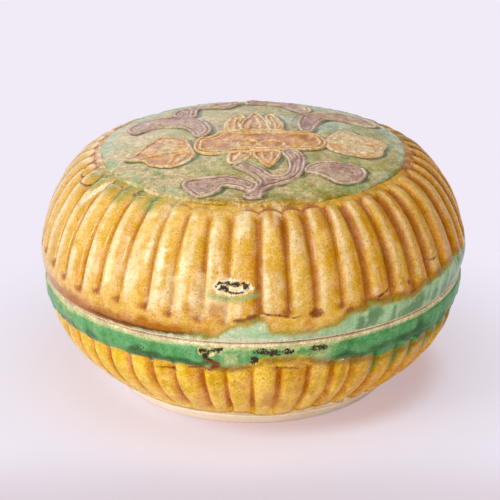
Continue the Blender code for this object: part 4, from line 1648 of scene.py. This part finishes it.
def make_sprig(node, material, slot):
    """Model, paint and place one sprig."""
    piece, top, inside = sprig(node)
    points = read_points(piece)
    flat = np.column_stack([points[:, :2], 0 * inside])
    rubbed = RUBBED.get(node, 0)
    kept = LINES_KEPT.get(node, LEAST_LINES_KEPT)
    threads = sprig_lines(node, points[:, :2], inside) * (1 - 0.85 * rubbed)
    uneven = cloud(flat, 5, 92)
    rough = cloud(flat, 1.6, 96)
    bumps = (0.12 * uneven + (0.12 + 0.12 * rubbed) * rough) * ease(0, 1.5, inside)
    rise = 0.15 * ease(0, 1.2, inside) + bumps - SPRIG_SINK
    rise = rise + sizes().thread_height / MM * threads * (0.85 + 0.3 * uneven)
    ground = face_height(points[:, 0], points[:, 1])
    points[:, 2] = np.where(top, ground + np.minimum(rise, RELIEF_CEILING), points[:, 2])
    write_points(piece, points)
    beside = bell(inside - THREAD_INSET - 0.9, 0.5) * np.maximum(ease(-0.8, 0.3, cloud(flat, 4, 98)), kept)
    within = ease(1.2, 2.0, inside) * ease(HOLLOWS_FROM[slot], 0.9, cloud(flat, 3, 94))
    hollow = (1 - threads) * np.maximum(beside, 0.75 * within)
    paint(
        piece,
        worn=ease(-0.4, 0.6, cloud(flat, 6, 93) + 0.5 * rough + WEAR.get(node, 0)),
        hollow=hollow * (1 - 0.6 * rubbed),
        ridge=0.85 * threads,
        rim=0.9 * (1 - ease(0.0, 0.8, inside)) * ease(-0.6, 0.6, uneven + 0.5 * rough - rubbed),
    )
    finish_piece(piece, material, "lid", slot, node)


class POTTERY_OT_flower(bpy.types.Operator):
    """Raise the lotus flower's heart and petals"""

    bl_idname = "pottery.flower"
    bl_label = "Lotus flower"

    def execute(self, context):
        layers = [
            ("worn", FLOWER_WORN, SOFT),
            ("hollow", FLOWER_HOLLOW, SOFT),
            ("ridge", FLOWER_RIDGE, SOFT),
            ("rim", tint("olive"), SOFT),
        ]
        material = lead_glaze("amber glaze of the flower", tint("flower"), layers, **RELIEF_FINISH)
        for node in FLOWER_NODES:
            make_sprig(node, material, "flower_glaze")
        return {"FINISHED"}


class POTTERY_OT_foliage(bpy.types.Operator):
    """Raise the stems and leaves"""

    bl_idname = "pottery.foliage"
    bl_label = "Stems and leaves"

    def execute(self, context):
        layers = [
            ("worn", LEAF_WORN, SOFT),
            ("hollow", LEAF_HOLLOW, SOFT),
            ("ridge", LEAF_RIDGE, SOFT),
            ("rim", tint("olive"), SOFT),
        ]
        material = lead_glaze("aubergine glaze of the leaves", tint("aubergine"), layers, **RELIEF_FINISH)
        for node in FOLIAGE_NODES:
            make_sprig(node, material, "leaf_glaze")
        return {"FINISHED"}


# Stage

# Camera: places and lens in millimetres
CAMERA_TARGET = (-1.1, 0, 44.65)
CAMERA_DISTANCE = 815
CAMERA_RISE = math.radians(22.25)
CAMERA_LENS = 165.4

# Floor: colours, and sizes and places in metres. The front colour paints shade toward the front, the near
# colour a painted warm bounce from the object, and the contact colour a painted contact shadow by the foot
FLOOR_SIZE = 12
PAPER = screen(241, 235, 247)
PAPER_FRONT_SHADE = screen(224, 212, 221)
PAPER_FRONT_REACH = (-0.11, -0.06)
PAPER_FRONT_END = (-0.4, -0.8)
PAPER_NEAR_BOUNCE = screen(246, 236, 246)
PAPER_NEAR_REACH = (0.05, 0.1)
PAPER_CONTACT_SHADOW = screen(230, 206, 208)
PAPER_CONTACT_MIDDLE = (0.011, 0.0, 0.0)
PAPER_CONTACT_REACH = (0.048, 0.062)
PAPER_GLOW_NEAR = 0.56
PAPER_GLOW_FROM = 0.07
PAPER_GLOW_TO = 0.145
PAPER_ROUGHNESS = 0.9
PAPER_SHINE = 0.1

# World: strength, colour, the way to its bright side and the share of light on the other
WORLD_LIGHT = 0.36
WORLD_COLOUR = (1, 0.98, 1)
BRIGHT_SIDE = (-0.8, 0.15, 0.55)
BRIGHT_SIDE_FADE = (-0.7, 0.7)
DIM_SIDE_SHARE = 0.14

# Soft boxes: bearing and rise in degrees, distance and size in metres, watts, colour
LAMPS = {
    "key from the left": (-52, 26, 1.1, 0.34, 3.5, (1.0, 0.98, 0.96)),
    "fill from the right": (75, 48, 1.3, 0.9, 1.4, (1.0, 0.92, 0.8)),
    "glare from the left": (-80, 5, 1.0, 0.26, 1.8, (1.0, 0.99, 0.98)),
    "from behind": (-168, 22, 1.2, 0.6, 1.4, (0.96, 0.97, 1.0)),
    "overhead": (10, 72, 1.4, 1.0, 5.6, (1.0, 0.99, 0.98)),
    "low front": (2, 6, 1.3, 0.9, 7.6, (1.0, 0.98, 0.94)),
}

# Lamps too broad to show as highlights
UNREFLECTED_LAMPS = ("low front", "fill from the right")


def aim(thing, target):
    """Turn a lamp or camera to look at a target."""
    thing.rotation_euler = (Vector(target) - thing.location).to_track_quat("-Z", "Y").to_euler()


def seen_directly(nodes, links):
    """1 for rays from the camera, from reflections and through glass, and 0 for plain light."""
    path = nodes.new("ShaderNodeLightPath")
    either = path.outputs["Is Camera Ray"]
    for ray in ("Is Glossy Ray", "Is Transmission Ray"):
        add = nodes.new("ShaderNodeMath")
        add.operation = "MAXIMUM"
        links.new(either, add.inputs[0])
        links.new(path.outputs[ray], add.inputs[1])
        either = add.outputs[0]
    return either


def make_floor():
    """A large floor of pale paper that glows evenly away from the object and keeps its shadow, with a
    painted contact shadow by the foot, a painted warm bounce near the object and painted shade toward the
    front.
    """
    deselect()
    bpy.ops.mesh.primitive_plane_add(size=FLOOR_SIZE, location=(0, 0, 0))
    floor = bpy.context.object
    floor.name = "paper_floor"
    paper = Glaze("pale paper")
    depth = paper.nodes.new("ShaderNodeSeparateXYZ")
    paper.fill(depth.inputs[0], paper.place)
    from_middle = paper.distance((0, 0, 0))
    from_contact = paper.distance(PAPER_CONTACT_MIDDLE)
    behind = paper.ramp(depth.outputs["Y"], *PAPER_FRONT_REACH)
    beyond = paper.ramp(depth.outputs["Y"], *PAPER_FRONT_END)
    # Painted shade on the floor in front of the object
    tone = paper.mix(paper.math("MAXIMUM", behind, beyond), PAPER_FRONT_SHADE, PAPER)
    # Painted warm bounce from the object on the floor near it
    tone = paper.mix(paper.ramp(from_middle, *PAPER_NEAR_REACH), PAPER_NEAR_BOUNCE, tone)
    # Painted contact shadow on the floor by the foot
    tone = paper.mix(paper.ramp(from_contact, *PAPER_CONTACT_REACH), PAPER_CONTACT_SHADOW, tone)
    paper.fill(paper.shader.inputs["Base Color"], tone)
    paper.shader.inputs["Roughness"].default_value = PAPER_ROUGHNESS
    paper.shader.inputs["Specular IOR Level"].default_value = PAPER_SHINE
    glow = paper.ramp(from_middle, PAPER_GLOW_FROM, PAPER_GLOW_TO, PAPER_GLOW_NEAR, 1.0)
    share = paper.math("MULTIPLY", glow, seen_directly(paper.nodes, paper.links))
    even = paper.nodes.new("ShaderNodeEmission")
    paper.fill(even.inputs["Color"], tone)
    mix = paper.nodes.new("ShaderNodeMixShader")
    for socket, value in zip(mix.inputs, (share, paper.shader.outputs[0], even.outputs[0])):
        paper.links.new(value, socket)
    paper.links.new(mix.outputs[0], paper.nodes["Material Output"].inputs["Surface"])
    floor.data.materials.append(paper.material)


def make_world():
    """A soft light from the left, seen as pale paper by the camera."""
    world = bpy.data.worlds.new("Pale studio")
    bpy.context.scene.world = world
    world.use_nodes = True
    nodes = world.node_tree.nodes
    links = world.node_tree.links
    toward = nodes.new("ShaderNodeVectorMath")
    toward.operation = "DOT_PRODUCT"
    links.new(nodes.new("ShaderNodeTexCoord").outputs["Generated"], toward.inputs[0])
    toward.inputs[1].default_value = BRIGHT_SIDE
    fade = nodes.new("ShaderNodeMapRange")
    for socket, number in zip(fade.inputs[1:], (*BRIGHT_SIDE_FADE, DIM_SIDE_SHARE, 1)):
        socket.default_value = number
    links.new(toward.outputs["Value"], fade.inputs[0])
    strength = nodes.new("ShaderNodeMath")
    strength.operation = "MULTIPLY"
    links.new(fade.outputs[0], strength.inputs[0])
    strength.inputs[1].default_value = WORLD_LIGHT
    lit = nodes["Background"]
    lit.inputs["Color"].default_value = (*WORLD_COLOUR, 1)
    links.new(strength.outputs[0], lit.inputs["Strength"])
    seen = nodes.new("ShaderNodeBackground")
    seen.inputs["Color"].default_value = (*PAPER, 1)
    brighter = nodes.new("ShaderNodeMath")
    brighter.operation = "MAXIMUM"
    links.new(nodes.new("ShaderNodeLightPath").outputs["Is Camera Ray"], brighter.inputs[0])
    links.new(fade.outputs[0], brighter.inputs[1])
    links.new(brighter.outputs[0], seen.inputs["Strength"])
    mix = nodes.new("ShaderNodeMixShader")
    links.new(seen_directly(nodes, links), mix.inputs[0])
    links.new(lit.outputs[0], mix.inputs[1])
    links.new(seen.outputs[0], mix.inputs[2])
    links.new(mix.outputs[0], nodes["World Output"].inputs["Surface"])


def make_lamps(target):
    """Soft boxes round the object, all aimed at the target."""
    for name, (bearing, rise, distance, size, watts, colour) in LAMPS.items():
        lamp = bpy.data.objects.new(name, bpy.data.lights.new(name, "AREA"))
        lamp.data.shape = "DISK"
        lamp.data.size = size
        lamp.data.energy = watts
        lamp.data.color = colour
        lamp.visible_glossy = name not in UNREFLECTED_LAMPS
        across = math.cos(math.radians(rise))
        lamp.location = target + distance * Vector((
            math.sin(math.radians(bearing)) * across,
            -math.cos(math.radians(bearing)) * across,
            math.sin(math.radians(rise)),
        ))
        bpy.context.scene.collection.objects.link(lamp)
        aim(lamp, target)


def make_camera(target):
    """A camera in front of the object that looks down on it from far off."""
    camera = bpy.data.objects.new("camera", bpy.data.cameras.new("camera"))
    camera.data.lens = CAMERA_LENS
    away = Vector((0, -math.cos(CAMERA_RISE), math.sin(CAMERA_RISE)))
    camera.location = target + CAMERA_DISTANCE * MM * away
    bpy.context.scene.collection.objects.link(camera)
    aim(camera, target)
    bpy.context.scene.camera = camera


class POTTERY_OT_stage(bpy.types.Operator):
    """Set up the floor, the soft light and the camera"""

    bl_idname = "pottery.stage"
    bl_label = "Studio"

    def execute(self, context):
        target = Vector(CAMERA_TARGET) * MM
        make_floor()
        make_world()
        make_lamps(target)
        make_camera(target)
        context.scene.view_settings.view_transform = "Standard"
        return {"FINISHED"}


class POTTERY_PT_panel(bpy.types.Panel):
    """Lists the pieces of the pottery box"""

    bl_label = "Pottery box"
    bl_space_type = "VIEW_3D"
    bl_region_type = "UI"
    bl_category = "Pottery box"

    def draw(self, context):
        for operator in OPERATORS:
            self.layout.operator(operator.bl_idname)


OPERATORS = (
    POTTERY_OT_stage,
    POTTERY_OT_bowl,
    POTTERY_OT_clay_rings,
    POTTERY_OT_lid,
    POTTERY_OT_medallion,
    POTTERY_OT_flower,
    POTTERY_OT_foliage,
)
CLASSES = (PotterySizes, GlazeColours, *OPERATORS, POTTERY_PT_panel)


def register():
    """Add the properties, operators and panel to Blender."""
    for kind in CLASSES:
        bpy.utils.register_class(kind)
    bpy.types.Scene.pottery_sizes = bpy.props.PointerProperty(type=PotterySizes)
    bpy.types.Scene.pottery_colours = bpy.props.PointerProperty(type=GlazeColours)


def unregister():
    """Take them away again."""
    del bpy.types.Scene.pottery_colours
    del bpy.types.Scene.pottery_sizes
    for kind in reversed(CLASSES):
        bpy.utils.unregister_class(kind)


def main():
    """Build the stage and every piece."""
    register()
    bpy.ops.pottery.stage()
    bpy.ops.pottery.bowl()
    bpy.ops.pottery.clay_rings()
    bpy.ops.pottery.lid()
    bpy.ops.pottery.medallion()
    bpy.ops.pottery.flower()
    bpy.ops.pottery.foliage()


if __name__ == "__main__":
    main()
